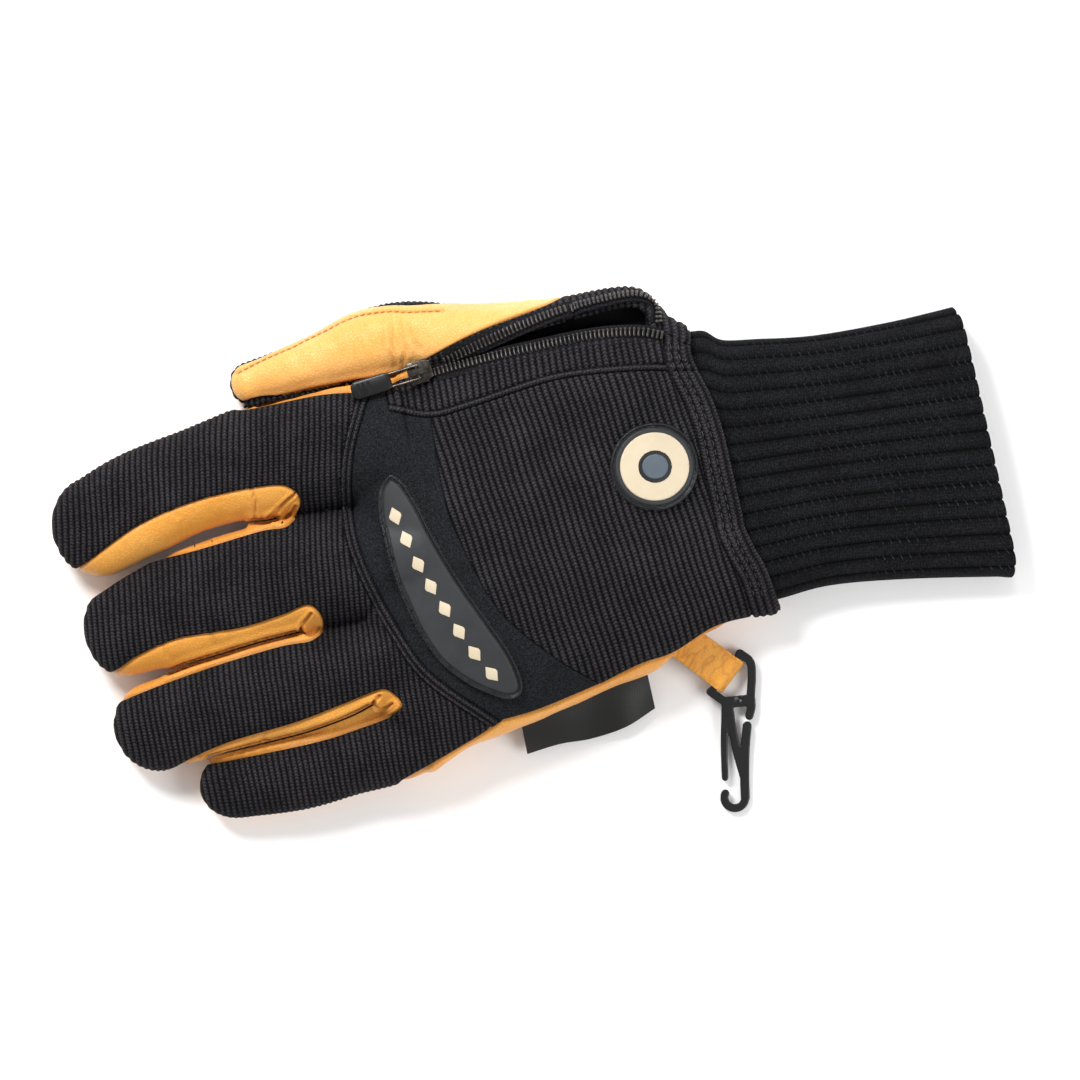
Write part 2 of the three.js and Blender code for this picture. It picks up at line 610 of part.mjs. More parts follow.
// Plastic hook, flat strokes from the bar to the round end; it lies with that end on the table
const HOOK_STROKES = [
  { width: HOOK.barWidth, points: [[56.1, -28.0], [47.9, -38.8]] },
  {
    width: 2.4,
    points: [[56.1, -28.0], [59.0, -30.4], [59.5, -34.5], [59.2, -40.0], [59.4, -43.0], [58.8, -45.6]],
  },
  { width: 2.4, points: [[47.9, -38.8], [52.6, -42.2]] },
  { width: 3.2, points: [[52.6, -41.8], [59.0, -41.2]] },
  { width: 1.9, points: [[51.9, -42.8], [51.7, -53.6], [52.0, -63.0]] },
  { width: 2.3, points: [[53.1, -42.7], [54.8, -53.6], [57.2, -62.5]] },
  { width: 2.6, points: [[58.2, -48.4], [57.7, -54.0], [57.5, -62.0], [57.7, -68.6]] },
];
const HOOK_BEND = { x: 54.75, y: -68.6, radius: 2.95, width: 2.3, from: 10, to: -205 };

function stroke(points, width) {
  const half = width / 2;
  const capSteps = 2;
  const cap = (tip, from) => Array.from({ length: capSteps + 1 }, (_, i) => {
    const angle = from + (Math.PI * i) / capSteps;
    return new THREE.Vector2(tip.x + half * Math.cos(angle), tip.y + half * Math.sin(angle));
  });
  const heading = (a, b) => Math.atan2(b.y - a.y, b.x - a.x);
  const side = (sign) => points.slice(1, -1).map((point, i) => {
    const turn = (heading(points[i], point) + heading(point, points[i + 2])) / 2;
    return point.clone().add(new THREE.Vector2(-Math.sin(turn), Math.cos(turn)).multiplyScalar(sign * half));
  });
  const last = points.length - 1;
  const outline = [
    ...cap(points[0], heading(points[0], points[1]) + Math.PI / 2), ...side(-1),
    ...cap(points[last], heading(points[last - 1], points[last]) - Math.PI / 2), ...side(1).reverse(),
  ];
  return prism(outline, 0, HOOK.thick);
}

function hookSolid() {
  const strokes = HOOK_STROKES.map(({ points, width }) => stroke(points.map(vec2), width));
  const { x, y, radius, width, from, to } = HOOK_BEND;
  const bendSteps = 7;
  const bend = Array.from({ length: bendSteps + 1 }, (_, i) => {
    const angle = THREE.MathUtils.degToRad(from + ((to - from) * i) / bendSteps);
    return new THREE.Vector2(x + radius * Math.cos(angle), y + radius * Math.sin(angle));
  });
  const flat = geometryOf(joined([...strokes, unrolledStroke(bend, width)]));
  const { along } = loopFrame();
  const place = flat.attributes.position;
  for (let i = 0; i < place.count; i += 1) {
    const pastBar = (place.getX(i) - LOOP.x) * along.x + (place.getY(i) - LOOP.y) * along.y - LOOP.reach;
    const lift = loopRadius - HOOK.thick / 2 - HOOK.fall * pastBar;
    place.setZ(i, Math.max(0, place.getZ(i) + lift));
  }
  return solidOf(flat);
}

// A stroke whose headings turn past half a circle, with its angles followed step by step
function unrolledStroke(points, width) {
  return joined(points.slice(1).map((point, i) => stroke([points[i], point], width)));
}

// The angles at which a section's outline is parted into equal lengths
function evenAngles(section, offset, sides, power) {
  const fine = 720;
  const ring = sectionRing(section, offset, fine, power);
  const run = [0];
  ring.forEach((point, i) => run.push(run[i] + point.distanceTo(ring[(i + 1) % fine])));
  const whole = run[fine];
  return Array.from({ length: sides }, (_, k) => {
    const reached = run.findIndex((length, i) => i > 0 && length >= (whole * k) / sides) - 1;
    const part = ((whole * k) / sides - run[reached]) / (run[reached + 1] - run[reached]);
    return (2 * Math.PI * (reached + part)) / fine;
  });
}

// The ribbed cuff, a tube that starts inside the wrist
function cuffSolid() {
  const { ribs, depth, wall, rows } = CUFF;
  const pointsPerRib = 2;
  const innerSides = 28;
  const openEnd = 5;         // how far the hollow runs out past each end
  const groove = (i) => (i % pointsPerRib === 0 ? -depth : 0);
  const ring = ([fx, fy, nx, ny, top, sink], offset, sides, shift, ripple) => {
    const section = { far: vec2([fx + shift, fy]), near: vec2([nx + shift, ny]), top, sink };
    const angles = evenAngles(section, offset, sides, CUFF_POWER);
    const points = sectionRing(section, offset, sides, CUFF_POWER, { ripple, angles });
    points.forEach((point) => { point.z = Math.max(point.z, Math.max(0, -sink) - offset); });
    return points;
  };
  const last = rows.length - 1;
  const outer = rows.map((row) => ring(row, 0, ribs * pointsPerRib, 0, groove));
  const inner = rows.map((row, i) => {
    const shift = i === 0 ? -openEnd : i === last ? openEnd : 0;
    return ring(row, -wall, innerSides, shift);
  });
  return solidOf(loft(outer)).subtract(solidOf(loft(inner)));
}

pieces.pocket_bag = pocketBag();
pieces.zip_teeth_front = ribbon(TEETH.front, TEETH.width, TEETH.height);
pieces.zip_teeth_rear = ribbon(TEETH.rear, TEETH.width, TEETH.height).subtract(body(GAP));
pieces.knuckle_badge = badge(closedCurve(KNUCKLE_BADGE));
pieces.wrist_badge = badge(circle(WRIST_BADGE, 16));
pieces.zip_slider = atSlider(sliderSolid());
pieces.zip_link = atSlider(linkSolid());
pieces.zip_pull_grip = atSlider(gripSolid());
pieces.side_label = sideLabel();
pieces.hang_loop = hangLoop();
pieces.glove_hook = hookSolid();
pieces.cuff = cuffSolid();

const LEATHER = { color: 0xe6a04c, roughness: 0.7, metalness: 0 };
const KNIT = { color: 0x26242c, roughness: 0.9, metalness: 0 };
const RUBBER = { color: 0x3a3c40, roughness: 0.5, metalness: 0 };
const GUNMETAL = { color: 0x4b4640, roughness: 0.35, metalness: 1 };
const PLASTIC = { color: 0x1c1c1e, roughness: 0.45, metalness: 0 };
const FINISHES = {
  palm_leather: LEATHER,
  thumb_leather: LEATHER,
  hang_loop: LEATHER,
  knuckle_band: { color: 0x1c1e26, roughness: 0.8, metalness: 0 },
  knuckle_badge: RUBBER,
  wrist_badge: RUBBER,
  zip_teeth_front: GUNMETAL,
  zip_teeth_rear: GUNMETAL,
  zip_slider: GUNMETAL,
  zip_link: GUNMETAL,
  zip_pull_grip: PLASTIC,
  glove_hook: PLASTIC,
  side_label: { color: 0x17171a, roughness: 0.4, metalness: 0 },
};

const glove = new THREE.Group();
const extent = new THREE.Box3();
for (const [name, solid] of Object.entries(pieces)) {
  const mesh = new THREE.Mesh(geometryOf(solid), new THREE.MeshStandardMaterial(FINISHES[name] ?? KNIT));
  mesh.name = name;
  glove.add(mesh);
  extent.expandByObject(mesh);
}
const middle = extent.getCenter(new THREE.Vector3());
glove.position.set(-middle.x, -middle.y, -extent.min.z);

export default glove;
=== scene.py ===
"""A winter glove for the left hand, lying palm down, in tan leather and black rib knit."""
from contextlib import contextmanager
import math

import bmesh
import bpy
import numpy as np
from mathutils import Matrix, Vector, noise
from mathutils.bvhtree import BVHTree
from mathutils.kdtree import KDTree


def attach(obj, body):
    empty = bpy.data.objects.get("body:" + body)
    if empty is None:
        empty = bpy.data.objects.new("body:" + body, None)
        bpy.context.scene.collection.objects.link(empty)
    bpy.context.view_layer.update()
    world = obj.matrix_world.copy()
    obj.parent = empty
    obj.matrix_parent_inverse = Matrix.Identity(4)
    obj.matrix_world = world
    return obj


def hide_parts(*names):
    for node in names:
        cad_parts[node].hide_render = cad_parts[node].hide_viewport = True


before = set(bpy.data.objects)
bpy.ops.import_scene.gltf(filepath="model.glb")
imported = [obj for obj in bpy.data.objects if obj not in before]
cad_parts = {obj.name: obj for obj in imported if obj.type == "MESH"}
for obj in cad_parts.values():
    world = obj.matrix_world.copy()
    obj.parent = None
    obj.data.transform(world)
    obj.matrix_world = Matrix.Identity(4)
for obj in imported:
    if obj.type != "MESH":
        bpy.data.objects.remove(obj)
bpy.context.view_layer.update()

# Tables and shapes are in millimetres from the middle of the photograph, and this brings them into the frame
MM = 0.001
SHIFT = (1.230, -0.022)
TO_FRAME = Matrix.Scale(MM, 4) @ Matrix.Translation((*SHIFT, 0.0))

VOXEL = 0.7                 # mm, grain of the sculpted skin
WALL = 2.0                  # mm, leather or knit with its padding
SINK = 1.2                  # how far the soft underside is pressed flat
WIDEST = 0.42               # level of the widest line, as a share of the height
FINGER_POWER = 2.3          # squareness of a section, 2 is an ellipse
HAND_POWER = 2.6
FINGER_RIB = 1.6            # pitch of the knit's ribs
HAND_RIB = 1.85
CUFF_RIB = 4.3
FINGER_SEAM_Z = 6.5         # side seam between knit back and leather
HAND_SEAM_Z = 9.0
THUMB_SEAM_Z = 8.5
KNIT_LIFT = 0.35            # the knit's face above the skin's line
BAND_LIFT = 0.2             # the stretch band's face above it
LEDGE = 0.8                 # how far a panel runs on under its neighbour
LEDGE_DROP = 0.8            # how far it lies below the skin's line there
LEATHER_DIP = 1.15          # the leather's face below that line where knit covers it
PANEL_DEPTH = 0.9           # thickness of the panels over the leather
EDGE_ROUND = 0.8            # radius of a panel's rolled edge
GROOVE_DEPTH = 0.6          # of the groove along a folded hem, and half its width
GROOVE_WIDTH = 0.4
HEM_LINE = 2.0              # between the lines of a folded hem
HEM_WIDTH = 6.4             # of the folded hem at the wrist
TABLE_GAP = 0.02            # height of the lowest soft surface over the table
SKY = 80.0                  # above everything, where rays from above start
BLOCK_TOP = 60.0            # of the blocks that mark out panels
CUT_TOP = 70.0              # of the blocks that cut the leather open

# Section tables, a row for each section from the tip to the wrist:
# far edge x and y, near edge x and y, height of the back
INDEX = (12.0, [
    (-129.0, 20.5, -119.5, -6.0, 17.5), (-117.5, 27.5, -107.0, 0.0, 19.5),
    (-101.0, 34.0, -92.0, 7.0, 20.5), (-83.0, 41.0, -74.5, 10.5, 21.5),
    (-61.5, 46.0, -56.0, 12.5, 25.0), (-40.0, 50.0, -34.0, 13.0, 28.0),
])
MIDDLE = (10.5, [
    (-120.0, -9.0, -114.0, -34.0, 18.0), (-105.0, -0.7, -98.0, -30.7, 20.5),
    (-89.5, 5.0, -84.0, -27.0, 21.5), (-73.0, 9.5, -67.0, -22.0, 23.0),
    (-54.5, 12.5, -50.0, -19.0, 26.5), (-34.0, 16.0, -29.5, -16.0, 29.0),
])
RING = (11.5, [
    (-111.5, -36.5, -103.5, -60.0, 17.5), (-98.0, -31.0, -91.0, -57.0, 19.5),
    (-84.0, -27.0, -77.0, -52.5, 20.5), (-67.0, -22.5, -60.0, -49.4, 22.0),
    (-50.5, -19.0, -43.5, -44.2, 25.5), (-31.0, -14.5, -25.0, -38.5, 28.0),
])
LITTLE = (10.5, [
    (-86.0, -55.5, -83.5, -73.8, 14.5), (-70.0, -52.5, -66.5, -71.5, 16.5),
    (-54.5, -47.6, -51.5, -67.3, 18.0), (-40.5, -42.5, -36.0, -63.0, 21.0),
    (-22.5, -34.0, -17.5, -53.0, 24.0),
])
THUMB = (5.5, [
    (-82.5, 53.5, -80.5, 42.0, 12.5), (-74.0, 56.7, -71.5, 44.5, 15.5),
    (-63.0, 61.7, -60.0, 46.5, 18.0), (-52.0, 67.5, -49.0, 48.0, 20.5),
    (-39.0, 70.4, -35.0, 50.0, 23.0), (-24.0, 70.0, -22.0, 50.0, 25.0),
    (-8.0, 70.2, -6.0, 50.0, 26.0), (8.0, 72.0, 9.0, 52.0, 27.0),
])
HAND = (16.0, [
    (-40.5, 50.5, -30.0, -61.3, 27.5), (-28.0, 56.5, -19.0, -54.0, 30.0),
    (-14.0, 64.0, -7.0, -49.5, 31.0), (1.5, 70.0, 8.0, -43.0, 31.5),
    (17.0, 73.5, 21.0, -37.0, 31.0), (28.5, 73.6, 32.0, -33.0, 30.0),
    (36.0, 65.5, 39.0, -27.5, 28.0), (45.0, 62.0, 48.5, -21.5, 25.5),
    (57.5, 60.5, 62.0, -16.6, 23.5), (70.0, 60.0, 76.0, -16.5, 22.5),
])
CUFF_ROWS = [
    (38.0, 61.0, 43.0, -18.6, 20.4), (45.5, 61.9, 50.0, -17.4, 20.6), (51.0, 59.5, 58.0, -14.8, 20.4),
    (61.0, 60.1, 68.5, -12.2, 20.0),
    (77.0, 61.4, 82.0, -9.0, 19.5), (98.0, 65.2, 104.0, -7.3, 18.5),
    (117.0, 69.6, 134.0, -6.4, 17.5),
]

# Seams seen from above
KNUCKLE_SEAM = [
    (-47.5, 45.2), (-52.0, 27.5), (-52.3, 12.0), (-49.0, -2.0), (-40.3, -19.2), (-30.5, -33.2),
    (-11.2, -46.8),
]
BACK_SEAM = [(-30.5, 38.0), (-27.2, 18.0), (-23.2, 5.5), (-11.8, -15.3), (3.6, -28.7), (16.8, -36.5)]
POCKET_SEAM = [(-42.0, 39.8), (-30.5, 38.0), (-19.6, 40.7), (4.2, 48.3), (25.0, 50.8), (41.5, 51.0)]
HEM = [
    (37.5, 75.0), (40.6, 62.0), (41.1, 54.5), (46.3, 43.6), (49.6, 34.0), (52.4, 22.0), (55.0, 10.8),
    (55.6, 7.4), (58.6, 1.0), (61.9, -4.9), (64.6, -12.5), (67.0, -20.0),
]
MOUTH_FRONT = [(-30.2, 51.0), (-11.2, 56.4), (11.2, 61.0), (25.0, 62.6), (30.8, 62.5)]
MOUTH_REAR = [(30.8, 62.5), (30.8, 68.0), (26.5, 70.6), (16.8, 69.0), (-5.6, 61.8), (-30.2, 51.0)]
REAR_PANEL_EDGE = [(-34.0, 53.0), (-16.8, 62.0), (5.6, 71.5), (10.0, 80.0)]
LITTLE_SIDE = [(-38.5, -63.5), (-28.0, -57.5), (-16.8, -50.8), (-11.2, -46.8)]
HAND_SIDE = [(-11.2, -46.8), (0.0, -43.5), (16.8, -36.5)]
WRIST_SIDE = [(16.8, -36.5), (28.0, -30.9), (37.5, -27.6), (49.0, -20.5), (60.0, -18.0), (67.0, -20.0)]
STRIP_END = [(-43.2, 46.6), (-39.0, 48.8)]
WRIST_CORNER = [(34.4, 61.5), (39.8, 58.5)]

# Edges of the knit back round the fingers, from the thumb side to the little finger
FINGER_EDGE = [
    [(-47.5, 45.2), (-61.6, 44.4), (-83.2, 40.3), (-90.0, 42.0), (-112.0, 34.0), (-132.0, 24.0)],
    [(-140.0, 14.0), (-141.0, 2.0), (-136.0, -5.0), (-129.9, -4.3)],
    [(-112.0, 8.0), (-95.2, 15.0), (-78.4, 18.6)],
    [(-70.5, 18.6), (-66.6, 14.0), (-70.5, 7.9)],
    [(-78.4, 6.3), (-95.2, 1.3), (-106.0, -1.5), (-113.0, -4.0), (-121.0, -9.5)],
    [(-129.5, -16.0), (-131.0, -25.0), (-127.0, -34.0), (-119.6, -33.2)],
    [(-112.0, -28.4), (-100.8, -23.7), (-84.0, -20.9), (-72.8, -17.5)],
    [(-64.4, -14.4), (-60.2, -19.5), (-63.5, -24.0)],
    [(-72.8, -25.9), (-89.6, -30.9), (-106.4, -36.8), (-117.6, -41.4)],
    [(-123.0, -44.0), (-124.0, -52.0), (-118.0, -62.0), (-108.0, -64.5), (-102.2, -60.0)],
    [(-88.2, -53.3), (-67.2, -46.9), (-50.4, -40.2)],
    [(-43.0, -38.0), (-38.6, -42.2), (-41.5, -45.3)],
    [(-50.4, -48.8), (-61.6, -52.4), (-78.4, -56.1), (-93.0, -59.0)],
    [(-98.5, -60.0), (-99.0, -68.0), (-92.0, -77.0)],
    [(-78.0, -79.5), (-58.0, -75.5), (-44.0, -68.5), (-38.5, -63.5)],
]

# The thumb's seam, one line of stitches inside its far edge
THUMB_STITCHES = [
    (-84.9, 50.4), (-77.3, 54.2), (-70.2, 57.2), (-63.9, 60.3), (-58.1, 63.2), (-52.3, 65.9), (-47.0, 67.1),
    (-41.6, 67.6), (-36.0, 67.4), (-27.0, 67.8),
]

# Edges of the thumb's leather, the near one along the hand and the far one where the knit back shows
THUMB_NEAR_EDGE = [
    (-95.0, 44.5), (-88.0, 43.0), (-85.0, 42.6), (-82.5, 42.8), (-79.5, 43.8), (-76.0, 44.3), (-71.5, 44.4),
    (-66.0, 45.3), (-52.0, 48.0), (-41.0, 49.8),
]
THUMB_FAR_EDGE = [
    (-20.4, 70.6), (-28.0, 69.8), (-34.0, 69.4), (-39.0, 69.4), (-43.5, 69.2), (-48.0, 68.6), (-52.0, 67.9),
    (-56.0, 66.9), (-60.0, 65.8), (-64.0, 65.4),
]
THUMB_ZONE_EDGE = [(-95.0, 38.0), (-90.0, 39.5), (-72.5, 43.7), (-52.0, 48.1), (-41.0, 50.0)]
THUMB_BACK_END = -20.0

# Slits between two fingers that lie against each other, from the crotch outwards
SLITS = [
    [(-67.0, -21.9), (-78.8, -24.9), (-88.8, -28.0), (-98.5, -31.0), (-104.0, -33.2)],
    [(-46.6, -42.2), (-53.1, -45.6), (-64.5, -49.8), (-75.9, -52.8), (-88.8, -56.0), (-93.0, -57.2)],
    [(-73.6, 10.0), (-77.0, 9.2), (-80.6, 9.0), (-84.0, 8.2)],
]
SLIT_WIDTH = 0.5

# What fills the hollow between two such fingers: half its width, its height and the length of its tip
FILL_HALF = 2.2
FILL_TOP = 11.5
FILL_TIP = 1.5

# The crotches between fingers, where the leather's mesh is finer for its small folds
FINER = [(-72.0, 12.0), (-64.8, -20.4), (-44.6, -41.6)]
FINER_REACH = 7.5
FINER_ABOVE = 4.0


# Curves in the plane
def spline(four, t):
    """A point between the middle two of four rows, on the smooth curve through them."""
    p0, p1, p2, p3 = four
    return 0.5 * (2 * p1 + (p2 - p0) * t + (2 * p0 - 5 * p1 + 4 * p2 - p3) * t * t
                  + (3 * p1 - p0 - 3 * p2 + p3) * t ** 3)


def curve(points, step=1.0):
    """A smooth line through points, as an array with a point about every step millimetres."""
    pts = np.array(points, float)
    ends = np.vstack([2 * pts[0] - pts[1], pts, 2 * pts[-1] - pts[-2]])
    out = [pts[0]]
    for i in range(len(pts) - 1):
        count = max(1, int(np.linalg.norm(pts[i + 1] - pts[i]) / step))
        out += [spline(ends[i:i + 4], k / count) for k in range(1, count + 1)]
    return np.array(out)


def outline_of(*runs):
    """A closed outline from runs of points, without points that coincide."""
    pts = np.vstack([np.array(run, float) for run in runs])
    following = np.roll(pts, -1, axis=0)
    return pts[np.linalg.norm(following - pts, axis=1) > 0.08]


def distance_to(line, places, closed=False):
    """Distance in the plane from each place to a line, and how far along the line that is."""
    line = np.asarray(line, float)
    if closed:
        line = np.vstack([line, line[:1]])
    best = np.full(len(places), 1e9)
    along = np.zeros(len(places))
    run = 0.0
    for a, b in zip(line[:-1], line[1:]):
        span = b - a
        length = float(np.hypot(*span))
        t = np.clip(((places - a) @ span) / (length * length), 0, 1)
        d = np.hypot(*(places - a - t[:, None] * span).T)
        closer = d < best
        best[closer] = d[closer]
        along[closer] = run + t[closer] * length
        run += length
    return best, along


def shifted(line, distance):
    """A line moved sideways, to its left."""
    line = np.asarray(line, float)
    ahead = np.gradient(line, axis=0)
    ahead /= np.linalg.norm(ahead, axis=1)[:, None]
    return line + distance * np.column_stack([-ahead[:, 1], ahead[:, 0]])


def inset(outline, distance):
    """A closed outline moved inwards."""
    pts = np.asarray(outline, float)
    before, after = np.roll(pts, 1, axis=0), np.roll(pts, -1, axis=0)
    ahead = after - before
    ahead /= np.linalg.norm(ahead, axis=1)[:, None]
    area = 0.5 * float(np.sum(pts[:, 0] * after[:, 1] - after[:, 0] * pts[:, 1]))
    inwards = math.copysign(1.0, area) * np.column_stack([-ahead[:, 1], ahead[:, 0]])
    moved_pts = pts + distance * inwards
    gap, _ = distance_to(pts, moved_pts, closed=True)
    return moved_pts[gap > 0.93 * abs(distance)]


def inside(outline, places):
    """Which places lie inside a closed outline."""
    x, y = places[:, 0], places[:, 1]
    result = np.zeros(len(places), bool)
    following = np.roll(outline, -1, axis=0)
    for (ax, ay), (bx, by) in zip(outline, following):
        if ay == by:
            continue
        crosses = ((ay > y) != (by > y)) & (x < (bx - ax) * (y - ay) / (by - ay) + ax)
        result ^= crosses
    return result


def signed_distance(outline, places):
    """Distance to a closed outline, negative outside it."""
    d, _ = distance_to(outline, places, closed=True)
    return np.where(inside(outline, places), d, -d)


def smoothstep(value):
    t = np.clip(value, 0, 1)
    return t * t * (3 - 2 * t)


# Meshes as arrays
def places_of(mesh):
    co = np.empty(len(mesh.vertices) * 3)
    mesh.vertices.foreach_get("co", co)
    return co.reshape(-1, 3)


def normals_of(mesh):
    normals = np.empty(len(mesh.vertices) * 3)
    mesh.vertices.foreach_get("normal", normals)
    return normals.reshape(-1, 3)


def put_places(mesh, co):
    mesh.vertices.foreach_set("co", np.ascontiguousarray(co, float).ravel())
    mesh.update()


def edges_of(mesh):
    ends = np.empty(len(mesh.edges) * 2, int)
    mesh.edges.foreach_get("vertices", ends)
    return ends.reshape(-1, 2)


def relaxed(mesh, rounds, hold=None, factor=0.5):
    """Moves each vertex towards the mean of its neighbours, but for those that are held."""
    co = places_of(mesh)
    ends = edges_of(mesh)
    count = np.bincount(ends.ravel(), minlength=len(co))[:, None]
    free = np.ones(len(co), bool) if hold is None else ~hold
    free &= count[:, 0] > 0
    for _ in range(rounds):
        total = np.zeros_like(co)
        for axis in range(3):
            total[:, axis] = (np.bincount(ends[:, 0], co[ends[:, 1], axis], len(co))
                              + np.bincount(ends[:, 1], co[ends[:, 0], axis], len(co)))
        mean = total / np.maximum(count, 1)
        co[free] += factor * (mean[free] - co[free])
    put_places(mesh, co)


def in_scene(name, data):
    """A new object with its data, linked into the scene."""
    made = bpy.data.objects.new(name, data)
    bpy.context.scene.collection.objects.link(made)
    return made


@contextmanager
def edited(piece):
    """The mesh of a piece as a bmesh, written back when the edit ends."""
    bm = bmesh.new()
    bm.from_mesh(piece.data)
    yield bm
    bm.to_mesh(piece.data)
    bm.free()


def outward(piece):
    """Turns the faces of a piece the same way, outwards."""
    with edited(piece) as bm:
        bmesh.ops.recalc_face_normals(bm, faces=bm.faces)


def on_border(mesh):
    """Which vertices lie on an open edge."""
    bm = bmesh.new()
    bm.from_mesh(mesh)
    flags = np.array([v.is_boundary for v in bm.verts])
    bm.free()
    return flags


def new_object(name, bm):
    mesh = bpy.data.meshes.new(name)
    bm.to_mesh(mesh)
    bm.free()
    return in_scene(name, mesh)


def applied(piece, **modifiers):
    """Adds modifiers by type with their settings, applies them and returns the piece."""
    for kind, settings in modifiers.items():
        modifier = piece.modifiers.new(kind, kind)
        for key, value in settings.items():
            setattr(modifier, key, value)
    graph = bpy.context.evaluated_depsgraph_get()
    mesh = bpy.data.meshes.new_from_object(piece.evaluated_get(graph))
    piece.modifiers.clear()
    old = piece.data
    piece.data = mesh
    bpy.data.meshes.remove(old)
    mesh.name = piece.name
    return piece


def removed(*pieces):
    for piece in pieces:
        bpy.data.objects.remove(piece)


def shade_smooth(piece, angle=None):
    piece.data.polygons.foreach_set("use_smooth", [True] * len(piece.data.polygons))
    if angle is not None:
        piece.data.set_sharp_from_angle(angle=math.radians(angle))
    piece.data.update()


def finished(piece, material, body="glove", nodes=(), angle=None):
    """Brings a piece from millimetres into the frame and gives it its finish and its body."""
    piece.data.transform(TO_FRAME)
    shade_smooth(piece, angle)
    piece.data.materials.clear()
    piece.data.materials.append(material)
    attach(piece, body)
    if nodes:
        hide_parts(*nodes)


# Soft tubes for the fingers and the hand
def table_at(rows, t):
    """A smooth row of a section table at t from 0 to the last row."""
    rows = np.array(rows, float)
    ends = np.vstack([2 * rows[0] - rows[1], rows, 2 * rows[-1] - rows[-2]])
    i = min(int(t), len(rows) - 2)
    return spline(ends[i:i + 4], t - i)


def section(row, angles, offset, power, shrink=1.0, forward=0.0, sink=SINK):
    """Points round one section of a soft tube."""
    fx, fy, nx, ny, top = row[:5]
    across = np.array([fx - nx, fy - ny])
    half = float(np.hypot(*across)) / 2
    across /= 2 * half
    ahead = np.array([-across[1], across[0]])
    centre = np.array([fx + nx, fy + ny]) / 2 + ahead * forward
    level = WIDEST * top
    cos, sin = np.cos(angles), np.sin(angles)
    side = np.sign(cos) * np.abs(cos) ** (2 / power) * (half + offset) * shrink
    rise = np.where(sin >= 0, top + offset - level, level + sink + offset)
    z = level + np.sign(sin) * np.abs(sin) ** (2 / power) * rise * shrink
    return np.column_stack([centre[0] + across[0] * side, centre[1] + across[1] * side, z])


def tube(name, form, offset=0.0, sides=56, power=FINGER_POWER, spacing=2.0, tip_steps=10):
    """A closed tube through a section table, rounded off at its tip."""
    reach, rows = form
    length = sum(math.dist(a[:2], b[:2]) for a, b in zip(rows[:-1], rows[1:]))
    count = int(length / spacing)
    stations = [("tip", math.pi / 2 * k / tip_steps) for k in range(tip_steps, 0, -1)]
    stations += [("row", (len(rows) - 1) * k / count) for k in range(count + 1)]
    angles = np.linspace(0, 2 * math.pi, sides + 1)
    grid = []
    for kind, value in stations:
        if kind == "tip":
            grid.append(section(rows[0], angles, offset, power, max(math.cos(value), 1e-4),
                                math.sin(value) * (reach + offset)))
        else:
            grid.append(section(table_at(rows, value), angles, offset, power))
    return grid_piece(name, grid, seam=True, capped=True)


def grid_piece(name, grid, seam=False, capped=False):
    """A sheet whose rows are the given lists of points; a seam joins its two sides, caps close its ends."""
    rows, columns = len(grid), len(grid[0])
    bm = bmesh.new()
    bm.loops.layers.uv.new("UVMap")
    bmesh.ops.create_grid(bm, x_segments=columns - 1, y_segments=rows - 1, size=0.5, calc_uvs=True)
    for v in bm.verts:
        i = round((v.co.x + 0.5) * (columns - 1))
        j = round((v.co.y + 0.5) * (rows - 1))
        v.co = grid[j][i]
    if seam:
        bmesh.ops.remove_doubles(bm, verts=bm.verts, dist=1e-3)
    if capped:
        bmesh.ops.holes_fill(bm, edges=[e for e in bm.edges if e.is_boundary], sides=0)
        bmesh.ops.recalc_face_normals(bm, faces=bm.faces)
    return new_object(name, bm)


def prism(name, outline, low, high):
    """An upright block with the given outline."""
    bm = bmesh.new()
    verts = [bm.verts.new((x, y, low)) for x, y in outline]
    face = bm.faces.new(verts)
    extruded = bmesh.ops.extrude_face_region(bm, geom=[face])
    top = [v for v in extruded["geom"] if isinstance(v, bmesh.types.BMVert)]
    bmesh.ops.translate(bm, verts=top, vec=(0, 0, high - low))
    bmesh.ops.recalc_face_normals(bm, faces=bm.faces)
    return new_object(name, bm)


def merged(name, pieces, voxel, rounds):
    """One smooth skin over several closed pieces."""
    bm = bmesh.new()
    for piece in pieces:
        bm.from_mesh(piece.data)
    whole = new_object(name, bm)
    removed(*pieces)
    applied(whole, REMESH={"mode": "VOXEL", "voxel_size": voxel, "adaptivity": 0})
    relaxed(whole.data, rounds)
    return whole


def two_slots(piece, index):
    """Two empty material slots, with every face in one of them, so that a cut can tell its faces apart."""
    piece.data.materials.clear()
    piece.data.materials.append(None)
    piece.data.materials.append(None)
    piece.data.polygons.foreach_set("material_index", [index] * len(piece.data.polygons))


def cut(piece, *tools, operation="DIFFERENCE"):
    """Cuts a piece with each tool in turn, and drops the tools."""
    for tool in tools:
        two_slots(tool, 1)
        applied(piece, BOOLEAN={"object": tool, "operation": operation, "solver": "MANIFOLD"})
        removed(tool)


def glove_body(name, offset, voxel, rounds, more=()):
    """The whole glove but its cuff as one closed skin, grown or shrunk by an offset."""
    fingers = [tube(f"{name}_tube", form, offset) for form in (INDEX, MIDDLE, RING, LITTLE, THUMB)]
    hand = tube(f"{name}_hand", HAND, offset, sides=120, power=HAND_POWER)
    return merged(name, [*fingers, hand, *more], voxel, rounds)


def between_fingers(slit):
    """Fills the hollow line where two fingers press together."""
    line = np.array(slit[:-1])
    far, near = shifted(line, -FILL_HALF), shifted(line, FILL_HALF)
    rows = [(*a, *b, FILL_TOP) for a, b in zip(far.tolist(), near.tolist())]
    return tube("between", (FILL_TIP, rows[::-1]), tip_steps=3)


